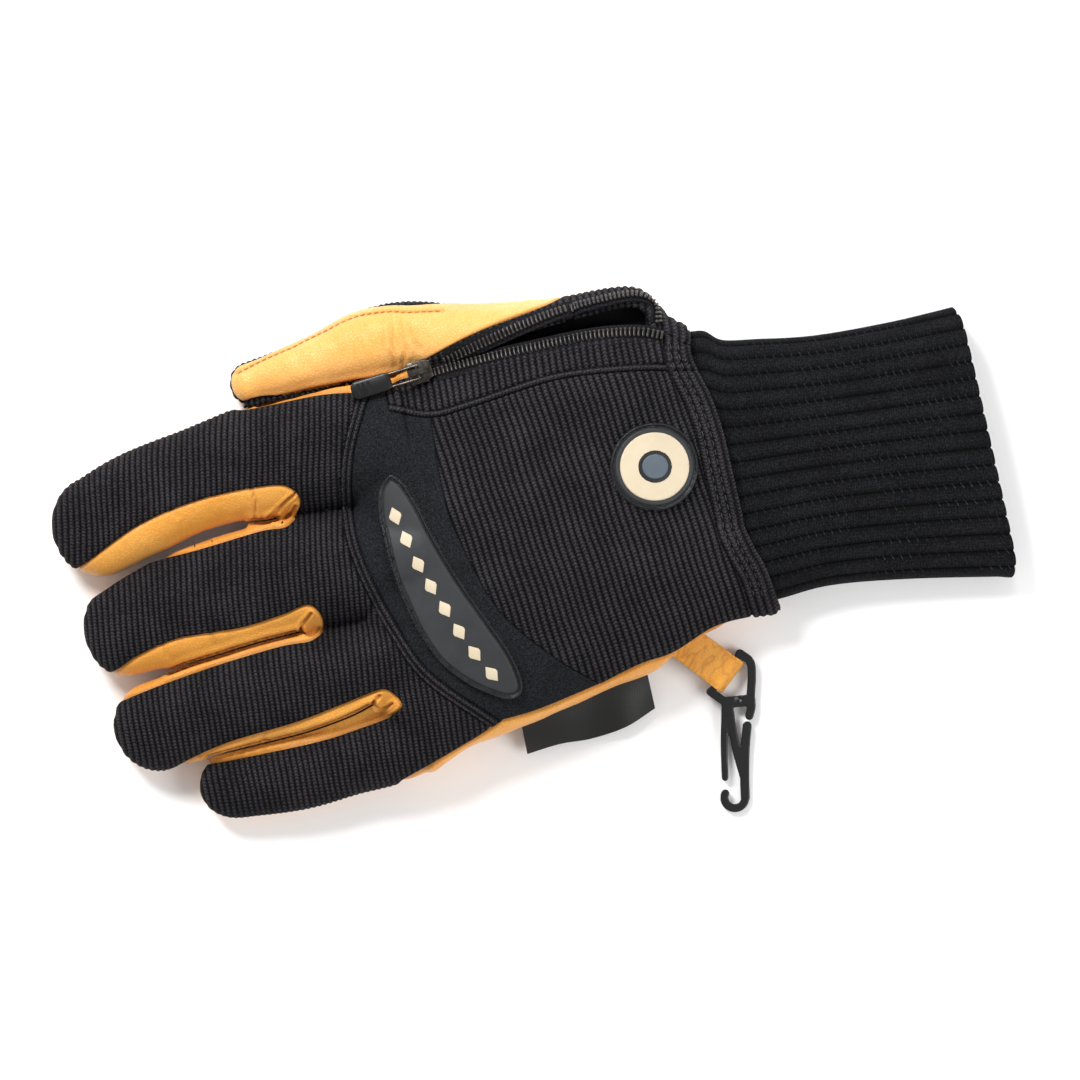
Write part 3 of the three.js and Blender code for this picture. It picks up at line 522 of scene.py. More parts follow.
def flattened(piece, level):
    """Presses what would be under the table flat, with a soft edge."""
    co = places_of(piece.data)
    soft, reach = 0.6, 40.0
    low = co[:, 2] < level + soft
    under = co[low, 2] - level - soft
    co[low, 2] = level + soft * np.exp(np.minimum(under, 0) / soft) * np.clip(1 + under / reach, 0, 1)
    put_places(piece.data, co)


# Creases, dents and folds of the leather: a line, its depth and its width in millimetres
CREASES = [
    ([(-42.0, 65.6), (-41.2, 61.0), (-41.6, 56.8), (-40.4, 52.6)], 0.26, 0.7),
    ([(-39.4, 65.0), (-38.8, 61.0), (-37.8, 57.0), (-38.2, 53.6)], 0.22, 0.7),
    ([(-36.6, 63.6), (-35.8, 60.0), (-33.6, 57.4)], 0.16, 0.8),
    ([(-104.0, 13.0), (-101.5, 10.5)], 0.25, 0.8),
    ([(-80.8, 18.5), (-79.6, 14.5), (-80.0, 10.5)], 0.55, 0.45),
    ([(-106.0, -25.0), (-104.5, -28.5)], 0.25, 0.8),
    ([(-92.0, -22.0), (-90.5, -26.0)], 0.3, 0.9),
    ([(-78.0, -50.0), (-77.0, -53.0)], 0.3, 0.9),
    ([(-62.0, 66.0), (-58.0, 60.0)], 0.2, 1.6),
    ([(-70.0, 60.0), (-66.5, 53.0)], 0.2, 1.8),
    # the fold at the root of each pair of fingers, a rolled lip with a crease on each side
    ([(-76.4, 10.4), (-73.6, 12.2), (-70.9, 14.6), (-68.6, 16.4)], 0.8, 0.42),
    ([(-74.0, 8.8), (-71.6, 9.9), (-69.4, 11.6), (-68.4, 13.2)], 0.7, 0.42),
    ([(-67.2, -21.6), (-66.6, -19.8), (-65.2, -18.4), (-64.0, -16.8)], 0.8, 0.42),
    ([(-67.0, -21.9), (-65.2, -22.7), (-63.2, -22.3), (-61.8, -20.8)], 0.7, 0.42),
    ([(-46.8, -42.0), (-46.0, -40.6), (-44.8, -39.8)], 0.75, 0.42),
    ([(-46.6, -42.4), (-44.8, -43.2), (-42.8, -43.0), (-41.4, -42.0)], 0.65, 0.42),
    # where one finger lies against the next
    (SLITS[0], 1.4, 0.8),
    (SLITS[1], 1.4, 0.8),
    (SLITS[2][:3], 1.4, 0.8),
    ([(-41.0, 50.0), (-52.0, 48.1), (-61.5, 46.4), (-72.5, 43.7), (-79.0, 42.2)], 1.0, 0.7),
]
WRINKLED = [((-38.5, 59.5), 8.0, 0.2), ((-95.0, 11.0), 14.0, 0.12), ((-46.0, 62.0), 16.0, 0.12)]


def lumpy(co, height, size):
    """Soft unevenness of padding at each place, of a height, with lumps of a size."""
    return np.array([height * noise.noise(Vector(p) / size) for p in co.tolist()])


def creased(co, normals):
    """How far each place moves along its normal for the folds and the unevenness of soft leather."""
    flat = co[:, :2]
    move = np.zeros(len(co))
    for line, depth, width in CREASES:
        d, _ = distance_to(curve(line), flat)
        near = d < 4 * width
        shape = np.exp(-(d[near] / width) ** 2) - 0.45 * np.exp(-((d[near] - 2 * width) / width) ** 2)
        faces_up = np.clip((normals[near, 2] - 0.05) / 0.35, 0, 1)
        move[near] -= depth * shape * np.clip(co[near, 2] / 8, 0, 1) * faces_up
    for centre, reach, height in WRINKLED:
        far = np.hypot(*(flat - centre).T) / reach
        for i in np.flatnonzero((far < 1) & (co[:, 2] > 2)).tolist():
            x, y, z = co[i]
            lines = noise.noise(Vector((x / 1.9 + y / 9, y / 6.5, z / 6)))
            move[i] += height * (0.5 - 2.2 * abs(lines)) * float(smoothstep(1.6 * (1 - far[i])))
    return move + (lumpy(co, 0.30, 17) + lumpy(co, 0.22, 7.5)) * np.clip(co[:, 2] / 3, 0, 1)


def moved(piece, distances):
    """Moves each place along its normal, but never below the table."""
    co = places_of(piece.data) + normals_of(piece.data) * distances[:, None]
    co[:, 2] = np.maximum(co[:, 2], TABLE_GAP)
    put_places(piece.data, co)


# Panels: the outline of each one from above
knuckle_line = curve(KNUCKLE_SEAM)
pocket_seam = curve(POCKET_SEAM)
hem_line = curve(HEM)
overhang = shifted(hem_line, 0.7)
mouth = outline_of(curve(MOUTH_FRONT), curve(MOUTH_REAR))
finger_edge = curve([spot for run in FINGER_EDGE for spot in run])
finger_outline = outline_of(finger_edge, curve(LITTLE_SIDE), knuckle_line[::-1])
band = outline_of(knuckle_line, curve(HAND_SIDE), curve(BACK_SEAM)[::-1],
                  pocket_seam[pocket_seam[:, 0] <= POCKET_SEAM[1][0]][::-1], STRIP_END[:1])
hand_back = outline_of(pocket_seam[pocket_seam[:, 0] >= POCKET_SEAM[1][0]],
                       overhang[overhang[:, 1] < pocket_seam[-1][1] - 0.3],
                       curve(WRIST_SIDE)[::-1], curve(BACK_SEAM)[::-1])
strip_hem = overhang[(overhang[:, 1] > pocket_seam[-1][1] + 0.3) & (overhang[:, 1] < WRIST_CORNER[1][1])]
front_strip = outline_of(curve(MOUTH_FRONT), WRIST_CORNER, strip_hem, pocket_seam[::-1], STRIP_END)
rear_hem = overhang[overhang[:, 1] > WRIST_CORNER[1][1] + 0.3]
rear_panel = outline_of(curve(REAR_PANEL_EDGE), [(30.0, 84.0)], rear_hem, WRIST_CORNER[::-1],
                        curve(MOUTH_REAR))
thumb_zone = outline_of(THUMB_ZONE_EDGE, curve(REAR_PANEL_EDGE), [(10.0, 85.0), (-95.0, 85.0)])
thumb_panel = outline_of(curve(THUMB_NEAR_EDGE), curve(REAR_PANEL_EDGE), [(10.0, 85.0), (-20.2, 85.0)],
                         curve(THUMB_FAR_EDGE), [(-95.0, 85.0)])
thumb_back = np.array([*(p for p in thumb_zone[:-2] if p[0] <= THUMB_BACK_END),
                       (THUMB_BACK_END, 85.0), (-95.0, 85.0)])


def without_crumbs(bm, fewest=60):
    """Drops the small loose bits that a cut leaves along an edge."""
    unseen = set(bm.faces)
    crumbs = []
    while unseen:
        island = [unseen.pop()]
        for face in island:
            for near in {f for e in face.edges for f in e.link_faces} & unseen:
                unseen.remove(near)
                island.append(near)
        if len(island) < fewest:
            crumbs += island
    bmesh.ops.delete(bm, geom=crumbs, context="FACES")


def patch_of(name, outline, low):
    """The part of the skin that lies inside an upright block, as an open sheet with a clean edge."""
    piece = in_scene(name, skin.data.copy())
    two_slots(piece, 0)
    cut(piece, prism(f"{name}_block", outline, low, BLOCK_TOP), operation="INTERSECT")
    with edited(piece) as bm:
        bmesh.ops.delete(bm, geom=[f for f in bm.faces if f.material_index == 1], context="FACES")
        bmesh.ops.delete(bm, geom=[f for f in bm.faces if f.normal.z < -0.2 and low > 0], context="FACES")
        bmesh.ops.remove_doubles(bm, verts=bm.verts, dist=0.12)
        without_crumbs(bm)
        bmesh.ops.triangulate(bm, faces=[f for f in bm.faces if len(f.verts) > 4])
        bmesh.ops.subdivide_edges(bm, edges=bm.edges, cuts=1, use_grid_fill=True)
        bmesh.ops.delete(bm, geom=[v for v in bm.verts if not v.link_faces], context="VERTS")
    relaxed(piece.data, 4, hold=on_border(piece.data))
    return piece


def border_distance(piece, below=1e9):
    """Distance from each vertex to the nearest open edge of its sheet that lies below a height."""
    co = places_of(piece.data)
    flags = on_border(piece.data) & (co[:, 2] < below)
    if not flags.any():
        return np.full(len(co), 1e9)
    tree = KDTree(int(flags.sum()))
    for k, p in enumerate(co[flags]):
        tree.insert(p, k)
    tree.balance()
    return np.array([tree.find(p)[2] for p in co])


def rolled(distance, radius):
    """How far below the face a rounded edge lies, at a distance from the edge."""
    t = np.clip(1 - distance / radius, 0, 1)
    return radius * (1 - np.sqrt(1 - t * t))


def seam_edge(piece, outline, low):
    """Signed distance of each place to the outline, and its distance to the panel's nearest edge."""
    signed = signed_distance(outline, places_of(piece.data)[:, :2])
    return signed, np.maximum(np.minimum(signed, border_distance(piece, low + 0.6)), 0)


def thick(piece, depth):
    """Gives a sheet its thickness, inwards from its face."""
    applied(piece, SOLIDIFY={"thickness": depth, "offset": -1.0, "use_even_offset": False})


def rib_phase(places, pitch, lean, turn, middle):
    """How many ribs and how far along them each place is. The ribs lean to -X going up, by a slope that
    changes with y."""
    x, y = places[:, 0], places[:, 1]
    sheared = lean * y + 0.5 * turn * (y - middle) ** 2
    sheared = sheared + 0.07 * pitch * (np.sin(x / 3.1 + y / 5.3) + np.sin(y / 3.7 - x / 9.0 + 1.3))
    scale = 1 / math.hypot(1, lean)
    return (x + sheared) * scale / pitch, (y - lean * x) * scale / pitch


def ribs(phase, height):
    """The height of a rib knit, plump ribs with narrow grooves."""
    return height * (np.abs(np.sin(math.pi * phase)) ** 0.8 - 0.55)


# Materials
def linear(hex_colour):
    """An sRGB colour such as 'e6a04c' in linear light."""
    parts = [int(hex_colour[k:k + 2], 16) / 255 for k in (0, 2, 4)]
    return [c / 12.92 if c <= 0.04045 else ((c + 0.055) / 1.055) ** 2.4 for c in parts] + [1.0]


def node(tree, kind, settings=None, **links):
    """Adds a node, sets its properties and sockets, and links sockets from other nodes' outputs."""
    added = tree.nodes.new(kind)
    for key, value in (settings or {}).items():
        if hasattr(added, key):
            setattr(added, key, value)
        else:
            added.inputs[key].default_value = value
    for key, source in links.items():
        tree.links.new(source, added.inputs[key.replace("_", " ")])
    return added


def base_material(name, hex_colour, roughness, metallic=0.0, **sockets):
    """A material with its uniform values on the shader's own sockets."""
    material = bpy.data.materials.new(name)
    material.use_nodes = True
    tree = material.node_tree
    shader = tree.nodes["Principled BSDF"]
    shader.inputs["Base Color"].default_value = linear(hex_colour)
    shader.inputs["Roughness"].default_value = roughness
    shader.inputs["Metallic"].default_value = metallic
    for key, value in sockets.items():
        shader.inputs[key.replace("_", " ")].default_value = value
    return material, tree, shader


def maths(tree, operation, a, b=None, clamp=False):
    """The output of one Math node whose inputs are numbers or other outputs."""
    added = tree.nodes.new("ShaderNodeMath")
    added.operation = operation
    added.use_clamp = clamp
    for socket, value in zip(added.inputs, (a, b)):
        if value is None:
            continue
        if isinstance(value, (int, float)):
            socket.default_value = value
        else:
            tree.links.new(value, socket)
    return added.outputs[0]


def coordinates(tree):
    return tree.nodes.new("ShaderNodeTexCoord").outputs["Object"]


def noise_at(tree, place, size_mm, detail=3.0, roughness=0.55):
    """A noise whose lumps are about size_mm across."""
    added = node(tree, "ShaderNodeTexNoise",
                 {"Scale": 1000.0 / size_mm, "Detail": detail, "Roughness": roughness}, Vector=place)
    return added.outputs["Fac"]


def ramp(tree, factor, *stops):
    """A colour ramp from (position, hex colour) stops."""
    added = node(tree, "ShaderNodeValToRGB", Fac=factor)
    elements = added.color_ramp.elements
    while len(elements) < len(stops):
        elements.new(0.5)
    for element, (position, colour) in zip(elements, stops):
        element.position = position
        element.color = linear(colour)
    return added.outputs["Color"]


def bump(tree, shader, height, depth_mm, strength=1.0, under=None):
    """A bump of a depth in millimetres, over another one where that is given."""
    added = node(tree, "ShaderNodeBump", {"Strength": strength, "Distance": depth_mm * MM}, Height=height)
    if under is not None:
        tree.links.new(under, added.inputs["Normal"])
    tree.links.new(added.outputs["Normal"], shader.inputs["Normal"])
    return added.outputs["Normal"]


def attribute(tree, name):
    return node(tree, "ShaderNodeAttribute", {"attribute_name": name}).outputs["Fac"]


def mixed(tree, factor, a, b):
    """Mixes two colours given as outputs or hex values."""
    added = tree.nodes.new("ShaderNodeMix")
    added.data_type = "RGBA"
    for socket, value in ((added.inputs["Factor"], factor), (added.inputs[6], a), (added.inputs[7], b)):
        if isinstance(value, str):
            socket.default_value = linear(value)
        elif isinstance(value, (int, float)):
            socket.default_value = value
        else:
            tree.links.new(value, socket)
    return added.outputs[2]


def leather(name, base, light, shadow, grain_mm=0.95):
    """Soft chrome-tanned deerskin: matt, with fine pebbles, cloudy dye and painted shade in its creases and
    folds.
    """
    material, tree, shader = base_material(name, base, 0.7, Specular_IOR_Level=0.2, Sheen_Weight=0.1)
    place = coordinates(tree)
    cloud = noise_at(tree, place, 24, 2)
    mottle = noise_at(tree, place, 3.2, 4)
    clouded = ramp(tree, cloud, (0.36, light), (0.66, base))
    dye = mixed(tree, maths(tree, "MULTIPLY", mottle, 0.5), clouded, base)
    # Painted shade: the number each vertex carries for its folds, creases, grooves and covered parts mixes
    # the colour towards the shadow colour
    shade = maths(tree, "MULTIPLY", attribute(tree, "painted_shade"), 0.85, clamp=True)
    cells = node(tree, "ShaderNodeTexVoronoi",
                 {"feature": "DISTANCE_TO_EDGE", "Scale": 1000 / grain_mm}, Vector=place)
    pebbles = cells.outputs["Distance"]
    pits = maths(tree, "SUBTRACT", 1.0, maths(tree, "MULTIPLY", pebbles, 7.0), clamp=True)
    dye = mixed(tree, maths(tree, "MULTIPLY", pits, maths(tree, "MULTIPLY", mottle, 0.42)), dye, shadow)
    tree.links.new(mixed(tree, shade, dye, shadow), shader.inputs["Base Color"])
    soft = bump(tree, shader, noise_at(tree, place, 2.6, 5, 0.6), 0.22, 0.55)
    fine = maths(tree, "MINIMUM", pebbles, 0.25)
    bump(tree, shader, fine, 0.4, 0.55, soft)
    tree.links.new(ramp(tree, mottle, (0.3, "8c8c8c"), (0.7, "b4b4b4")), shader.inputs["Roughness"])
    return material


def knit(name, groove, face, fuzz_and_crest_light, rib_mm, loop_mm, columns=1, ladder_mm=None, pebble=1.0):
    """Polyester rib knit: matt yarn, its loops in columns on each rib, painted shade in the grooves between
    the ribs and painted light on their crests.
    """
    material, tree, shader = base_material(name, face, 0.9, Specular_IOR_Level=0.12)
    place = coordinates(tree)
    flat = node(tree, "ShaderNodeSeparateXYZ", Vector=node(tree, "ShaderNodeUVMap").outputs["UV"])
    across, down = flat.outputs["X"], flat.outputs["Y"]
    along_rib = maths(tree, "MULTIPLY", down, rib_mm / loop_mm)
    groove_way = maths(tree, "ABSOLUTE", maths(tree, "SUBTRACT", maths(tree, "FRACT", across), 0.5))
    fine = maths(tree, "MULTIPLY", across, float(columns))
    column = maths(tree, "ABSOLUTE", maths(tree, "SUBTRACT", maths(tree, "FRACT", fine), 0.5))
    row = maths(tree, "ADD", along_rib, maths(tree, "MULTIPLY", column, 1.3))
    loops = maths(tree, "ABSOLUTE", maths(tree, "SINE", maths(tree, "MULTIPLY", row, math.pi)))
    round_rib = maths(tree, "COSINE", maths(tree, "MULTIPLY", groove_way, math.pi))
    ridge = maths(tree, "POWER", round_rib, 0.6 / pebble)
    yarn = noise_at(tree, place, 0.55, 3, 0.75)
    wear = noise_at(tree, place, 11, 3)
    if columns > 1:
        round_column = maths(tree, "COSINE", maths(tree, "MULTIPLY", column, math.pi))
        between = maths(tree, "MULTIPLY", round_column, 0.5)
        loops = maths(tree, "MULTIPLY", loops, maths(tree, "ADD", between, 0.5))
    # Painted light and shade: the ribs' crests and loops lighter, the grooves dark, mixed with random yarn
    # tone
    lit = maths(tree, "MULTIPLY", ridge, maths(tree, "ADD", maths(tree, "MULTIPLY", loops, 0.3), 0.5))
    tone = maths(tree, "ADD", lit, maths(tree, "MULTIPLY", maths(tree, "SUBTRACT", yarn, 0.5), 1.1 * pebble))
    tone = maths(tree, "ADD", tone, maths(tree, "MULTIPLY", maths(tree, "SUBTRACT", wear, 0.5), 0.35))
    colour = ramp(tree, tone, (0.1, groove), (0.5, face), (0.95, fuzz_and_crest_light))
    if ladder_mm is not None:
        slant = maths(tree, "ADD", maths(tree, "MULTIPLY", down, rib_mm / ladder_mm),
                      maths(tree, "MULTIPLY", across, -1.1))
        rung = maths(tree, "LESS_THAN", maths(tree, "FRACT", slant), 0.13)
        deep = maths(tree, "GREATER_THAN", groove_way, 0.35)
        seen = maths(tree, "MULTIPLY", maths(tree, "MULTIPLY", rung, deep), 0.5)
        patch = maths(tree, "MULTIPLY", maths(tree, "SUBTRACT", noise_at(tree, place, 16, 1), 0.38), 4.0)
        from_wrist = maths(tree, "MINIMUM", maths(tree, "MULTIPLY", down, 0.08), 1.0)
        seen = maths(tree, "MULTIPLY", seen, maths(tree, "MINIMUM", patch, from_wrist))
        seen = maths(tree, "MAXIMUM", seen, 0.0)
        colour = mixed(tree, seen, colour, "3e4044")
    tree.links.new(colour, shader.inputs["Base Color"])
    under = bump(tree, shader, yarn, 0.2 * pebble, 0.8)
    bump(tree, shader, loops, 0.2, 0.8, under)
    return material


def cloth(name, base, light, thread_mm, roughness=0.8, depth=0.08, **sockets):
    """Plain woven cloth: crossing threads, with a little unevenness."""
    material, tree, shader = base_material(name, base, roughness, **sockets)
    place = coordinates(tree)
    weave = [node(tree, "ShaderNodeTexWave", {"bands_direction": axis, "Scale": 1000 / thread_mm / 6.283,
                                              "Distortion": 0.6, "Detail": 1.0}, Vector=place).outputs["Fac"]
             for axis in ("X", "Y")]
    threads = maths(tree, "MULTIPLY", *weave)
    tree.links.new(ramp(tree, threads, (0.0, base), (1.0, light)), shader.inputs["Base Color"])
    bump(tree, shader, threads, depth, 0.7)
    return material


def moulded(name, base, light, roughness, grain_mm=0.5, depth=0.03, speckle=0.0, patchy=1.0, **sockets):
    """Moulded rubber or plastic: an even colour with a fine spark-eroded grain and faint marks."""
    material, tree, shader = base_material(name, base, roughness, **sockets)
    place = coordinates(tree)
    grain = noise_at(tree, place, grain_mm, 3)
    marks = noise_at(tree, place, 6, 3)
    patches = maths(tree, "ADD", maths(tree, "MULTIPLY", maths(tree, "SUBTRACT", marks, 0.5), patchy), 0.5)
    tone = maths(tree, "ADD", patches, maths(tree, "MULTIPLY", maths(tree, "SUBTRACT", grain, 0.5), speckle))
    tree.links.new(ramp(tree, tone, (0.35, base), (0.75, light)), shader.inputs["Base Color"])
    bump(tree, shader, grain, depth, 0.6)
    return material


def metal(name, base, roughness):
    """Gunmetal-plated zinc: dark, slightly warm, with small rubbed patches."""
    material, tree, shader = base_material(name, base, roughness, 1.0)
    place = coordinates(tree)
    rubbed = noise_at(tree, place, 1.6, 4)
    tree.links.new(ramp(tree, rubbed, (0.35, base), (0.8, "6c655e")), shader.inputs["Base Color"])
    bump(tree, shader, noise_at(tree, place, 0.5, 2), 0.02, 0.4)
    return material


PALM_LEATHER = leather("golden_deerskin", "d9943a", "e3a24c", "8a4514")
# The thumb's copy of the same leather is lighter, painted light on its upturned face
THUMB_LEATHER_LIT = leather("golden_deerskin_thumb_lit", "e0a354", "e9b26a", "9c5518")
STRAP_LEATHER = leather("golden_deerskin_strap", "d9963a", "e3a348", "8a4a16", 0.7)
# For each knit the colours are painted shade for the grooves, the yarn's face, and its fuzz together with
# painted light on the crests
RIB_KNIT = knit("black_rib_knit", "010101", "121113", "3c393d", FINGER_RIB, 0.9)
HAND_KNIT = knit("black_rib_knit_coarse", "010101", "131214", "3e3b40", HAND_RIB, 1.0)
CUFF_KNIT = knit("black_cuff_knit", "010101", "070709", "1f2023", CUFF_RIB, 0.75, columns=5, ladder_mm=2.3,
                 pebble=1.7)
NEOPRENE = moulded("black_neoprene", "0a0b0d", "24272b", 0.9, 0.42, 0.1, 1.3, 0.15, Specular_IOR_Level=0.12)
LINING = cloth("black_pocket_lining", "050506", "0e0e11", 0.5, 0.75, Specular_IOR_Level=0.3)
TAPE = cloth("black_zip_tape", "0b0b0e", "1b1b20", 0.6, 0.85, 0.1, Specular_IOR_Level=0.15)
SATIN = cloth("black_satin", "0a0908", "1a1816", 0.35, 0.38, 0.03, Specular_IOR_Level=0.45)
COIL = moulded("dark_nylon_coil", "0e0c0a", "261f1a", 0.36, 0.8, 0.02)
GUNMETAL = metal("gunmetal_plated_zinc", "3d3935", 0.32)
RUBBER = moulded("dark_grey_rubber", "2a2b2d", "303134", 0.55, Specular_IOR_Level=0.25)
RIM_RUBBER = moulded("black_rubber", "131416", "1b1d1f", 0.5, Specular_IOR_Level=0.3)
CREAM_RUBBER = moulded("cream_rubber", "bcae94", "c3b59b", 0.6)
GREY_RUBBER = moulded("blue_grey_rubber", "434d57", "4b555f", 0.6)
PLASTIC = moulded("black_acetal", "060607", "0c0c0e", 0.34, 0.6, 0.015, Specular_IOR_Level=0.4)
BLACK_THREAD = moulded("black_thread", "101013", "26262c", 0.7, 0.25, 0.05)
# Darker than the leather: the thread's own tan, and partly painted shade of the stitch holes
TAN_THREAD = moulded("tan_thread", "b9772f", "cf9148", 0.7, 0.25, 0.05)


def with_attribute(piece, name, values):
    """Gives a piece a number at each vertex that its material reads."""
    layer = piece.data.attributes.new(name, "FLOAT", "POINT")
    layer.data.foreach_set("value", np.ascontiguousarray(values, np.float32))


def with_pattern(piece, u, v):
    """Gives a piece a UV map from two numbers at each vertex."""
    layer = piece.data.uv_layers.new(name="UVMap") if not piece.data.uv_layers else piece.data.uv_layers[0]
    corners = np.empty(len(piece.data.loops), int)
    piece.data.loops.foreach_get("vertex_index", corners)
    layer.data.foreach_set("uv", np.column_stack([u, v])[corners].astype(np.float32).ravel())


# The sculpted skin, and the soft leather body under the panels
skin = glove_body("skin", 0.0, VOXEL, 6, [between_fingers(slit) for slit in SLITS])
flattened(skin, 0.0)
skin_tree = BVHTree.FromPolygons(
    [tuple(p) for p in places_of(skin.data).tolist()], [tuple(f.vertices) for f in skin.data.polygons])


def on_back(x, y):
    """The point of the back above a place on the table, and its normal."""
    place, normal, _, _ = skin_tree.ray_cast(Vector((x, y, SKY)), Vector((0, 0, -1)))
    if place is None:
        return Vector((x, y, 0)), Vector((0, 0, 1))
    return place, normal


# Where knit covers the leather, and from what height up
COVERED = [
    (finger_outline, FINGER_SEAM_Z), (band, HAND_SEAM_Z), (hand_back, HAND_SEAM_Z),
    (front_strip, HAND_SEAM_Z), (rear_panel, HAND_SEAM_Z), (thumb_zone, THUMB_SEAM_Z),
    (thumb_back, THUMB_BACK_END),
]


def dipping(distance):
    """From 0 to 1 across a seam, as the leather dips below the knit."""
    return smoothstep((distance + 0.9) / 1.1)


def upright(name, outline, low=-5.0):
    """A block that cuts through everything above a height."""
    return prism(name, outline, low, CUT_TOP)


def palm_and_fingers():
    """The soft leather body: folded, dipped where knit lies over it, hollow, and open at wrist and pocket."""
    piece = in_scene("palm_and_finger_leather", skin.data.copy())
    with edited(piece) as bm:
        close = {v for v in bm.verts if v.co.z > FINER_ABOVE
                 and min(math.dist(v.co.xy, spot) for spot in FINER) < FINER_REACH}
        bmesh.ops.subdivide_edges(bm, edges=[e for e in bm.edges if close.issuperset(e.verts)], cuts=1,
                                  use_grid_fill=True)
        bmesh.ops.triangulate(bm, faces=[f for f in bm.faces if len(f.verts) > 4])
    co = places_of(piece.data)
    hidden = np.zeros(len(co))
    for outline, seam in COVERED:
        within = dipping(signed_distance(outline, co[:, :2])) * dipping(co[:, 2] - seam)
        hidden = np.maximum(hidden, within)
    folds = creased(co, normals_of(piece.data))
    moved(piece, folds - LEATHER_DIP * hidden)
    # Painted shade: darker in the folds and where the knit covers the leather
    shade = np.clip(-folds * 0.9 - 0.1, 0, 1) + 0.5 * np.clip(hidden * 4, 0, 1)
    with_attribute(piece, "painted_shade", np.clip(shade, 0, 1))
    two_slots(piece, 0)
    wrist_end = outline_of(shifted(hem_line, -0.6), [(140, -40), (140, 90)])
    sides = [(shifted(curve(slit), SLIT_WIDTH / 2), shifted(curve(slit), -SLIT_WIDTH / 2)) for slit in SLITS]
    slits = [upright("slit", outline_of(left, right[::-1])) for left, right in sides]
    cut(piece, glove_body("hollow", -WALL, 1.3, 2), upright("wrist_block", wrist_end),
        upright("mouth_block", mouth, HAND_SEAM_Z + 2), *slits)
    finished(piece, PALM_LEATHER, nodes=("palm_leather",), angle=50)


palm_and_fingers()


def knit_panel(name, outline, low, material, pitch, lean, height, node_name, bands=(), turn=0.0):
    """A rib knit panel with rolled edges and, along each band's line, a folded hem of a given width."""
    piece = patch_of(name, inset(outline, -LEDGE), low)
    co = places_of(piece.data)
    signed, edge = seam_edge(piece, outline, low)
    lift = np.where(signed > 0, KNIT_LIFT - rolled(edge, EDGE_ROUND), -LEDGE_DROP)
    fade = smoothstep((edge - 0.5) / 1.2)
    u, v = rib_phase(co, pitch, lean, turn, -15.0)
    for line, width, rise in bands:
        d, run = distance_to(line, co[:, :2])
        lift = lift + rise * (1 - smoothstep((d - width + 0.5) / 0.8))
        lift = lift - GROOVE_DEPTH * np.exp(-((d - width) / GROOVE_WIDTH) ** 2)
        u = np.where(d < width, d / width * round(width / HEM_LINE), u)
        v = np.where(d < width, run / pitch, v)
    moved(piece, lift + ribs(u, height) * fade + lumpy(co, 0.35, 14) * smoothstep(edge / 3))
    with_pattern(piece, u, v)
    thick(piece, PANEL_DEPTH)
    finished(piece, material, nodes=(node_name,), angle=60)


wrist_band = (hem_line, HEM_WIDTH, 0.5)
knit_panel("finger_back_knit_rib", finger_outline, FINGER_SEAM_Z, RIB_KNIT, FINGER_RIB, 0.09, 0.45,
           "finger_back_knit", bands=[(knuckle_line, 3.0, 0.35)], turn=-0.0022)
knit_panel("hand_back_knit_rib", hand_back, HAND_SEAM_Z, HAND_KNIT, HAND_RIB, 0.33, 0.6,
           "hand_back_knit", bands=[wrist_band])
knit_panel("pocket_front_knit_rib", front_strip, HAND_SEAM_Z, HAND_KNIT, HAND_RIB, 0.2, 0.5,
           "pocket_front_knit", bands=[(pocket_seam, 1.8, 0.3), wrist_band])
knit_panel("pocket_rear_knit_rib", rear_panel, HAND_SEAM_Z, HAND_KNIT, HAND_RIB, 0.2, 0.5, "pocket_rear_knit",
           bands=[wrist_band])


def thumb_pieces():
    """The thumb: leather that faces up, over a knit back that the table hides."""
    piece = patch_of("thumb_leather_face", thumb_panel, THUMB_SEAM_Z)
    co = places_of(piece.data)
    edge = border_distance(piece)
    folds = creased(co, normals_of(piece.data))
    seam, _ = distance_to(curve(THUMB_STITCHES), co[:, :2])
    groove = np.exp(-(seam / 0.5) ** 2)
    moved(piece, folds + 0.35 - rolled(edge, 0.9) - 0.45 * groove)
    # Painted shade along the rolled edge and in the stitched groove, added to the painted shade of the folds
    rolled_edge_shade = 0.5 * np.exp(-(edge / 0.7) ** 2)
    with_attribute(piece, "painted_shade", np.clip(-folds * 0.8 - 0.1, 0, 1) + rolled_edge_shade + 0.5 * groove)
    thick(piece, PANEL_DEPTH)
    finished(piece, THUMB_LEATHER_LIT, nodes=("thumb_leather",), angle=60)
    piece = patch_of("thumb_back_knit_rib", thumb_back, -2.0)
    co = places_of(piece.data)
    covered = smoothstep((signed_distance(thumb_panel, co[:, :2]) + 0.6) / 1.0)
    covered *= smoothstep((co[:, 2] - THUMB_SEAM_Z + 0.6) / 1.0)
    u, v = rib_phase(co, FINGER_RIB, 0.1, 0.0, 0.0)
    moved(piece, 0.15 + ribs(u, 0.4) - 1.0 * covered)
    with_pattern(piece, u, v)
    thick(piece, 0.7)
    finished(piece, RIB_KNIT, nodes=("thumb_back_knit",), angle=60)


thumb_pieces()


def band_piece():
    """The stretch band over the knuckles, a smooth laminated cloth with a turned edge."""
    piece = patch_of("knuckle_band_neoprene", inset(band, -LEDGE), HAND_SEAM_Z)
    co = places_of(piece.data)
    signed, edge = seam_edge(piece, band, HAND_SEAM_Z)
    lift = np.where(signed > 0, BAND_LIFT - rolled(edge, EDGE_ROUND), -LEDGE_DROP)
    moved(piece, lift + lumpy(co, 0.4, 16) * smoothstep(edge / 3))
    thick(piece, PANEL_DEPTH)
    finished(piece, NEOPRENE, nodes=("knuckle_band",), angle=60)


band_piece()


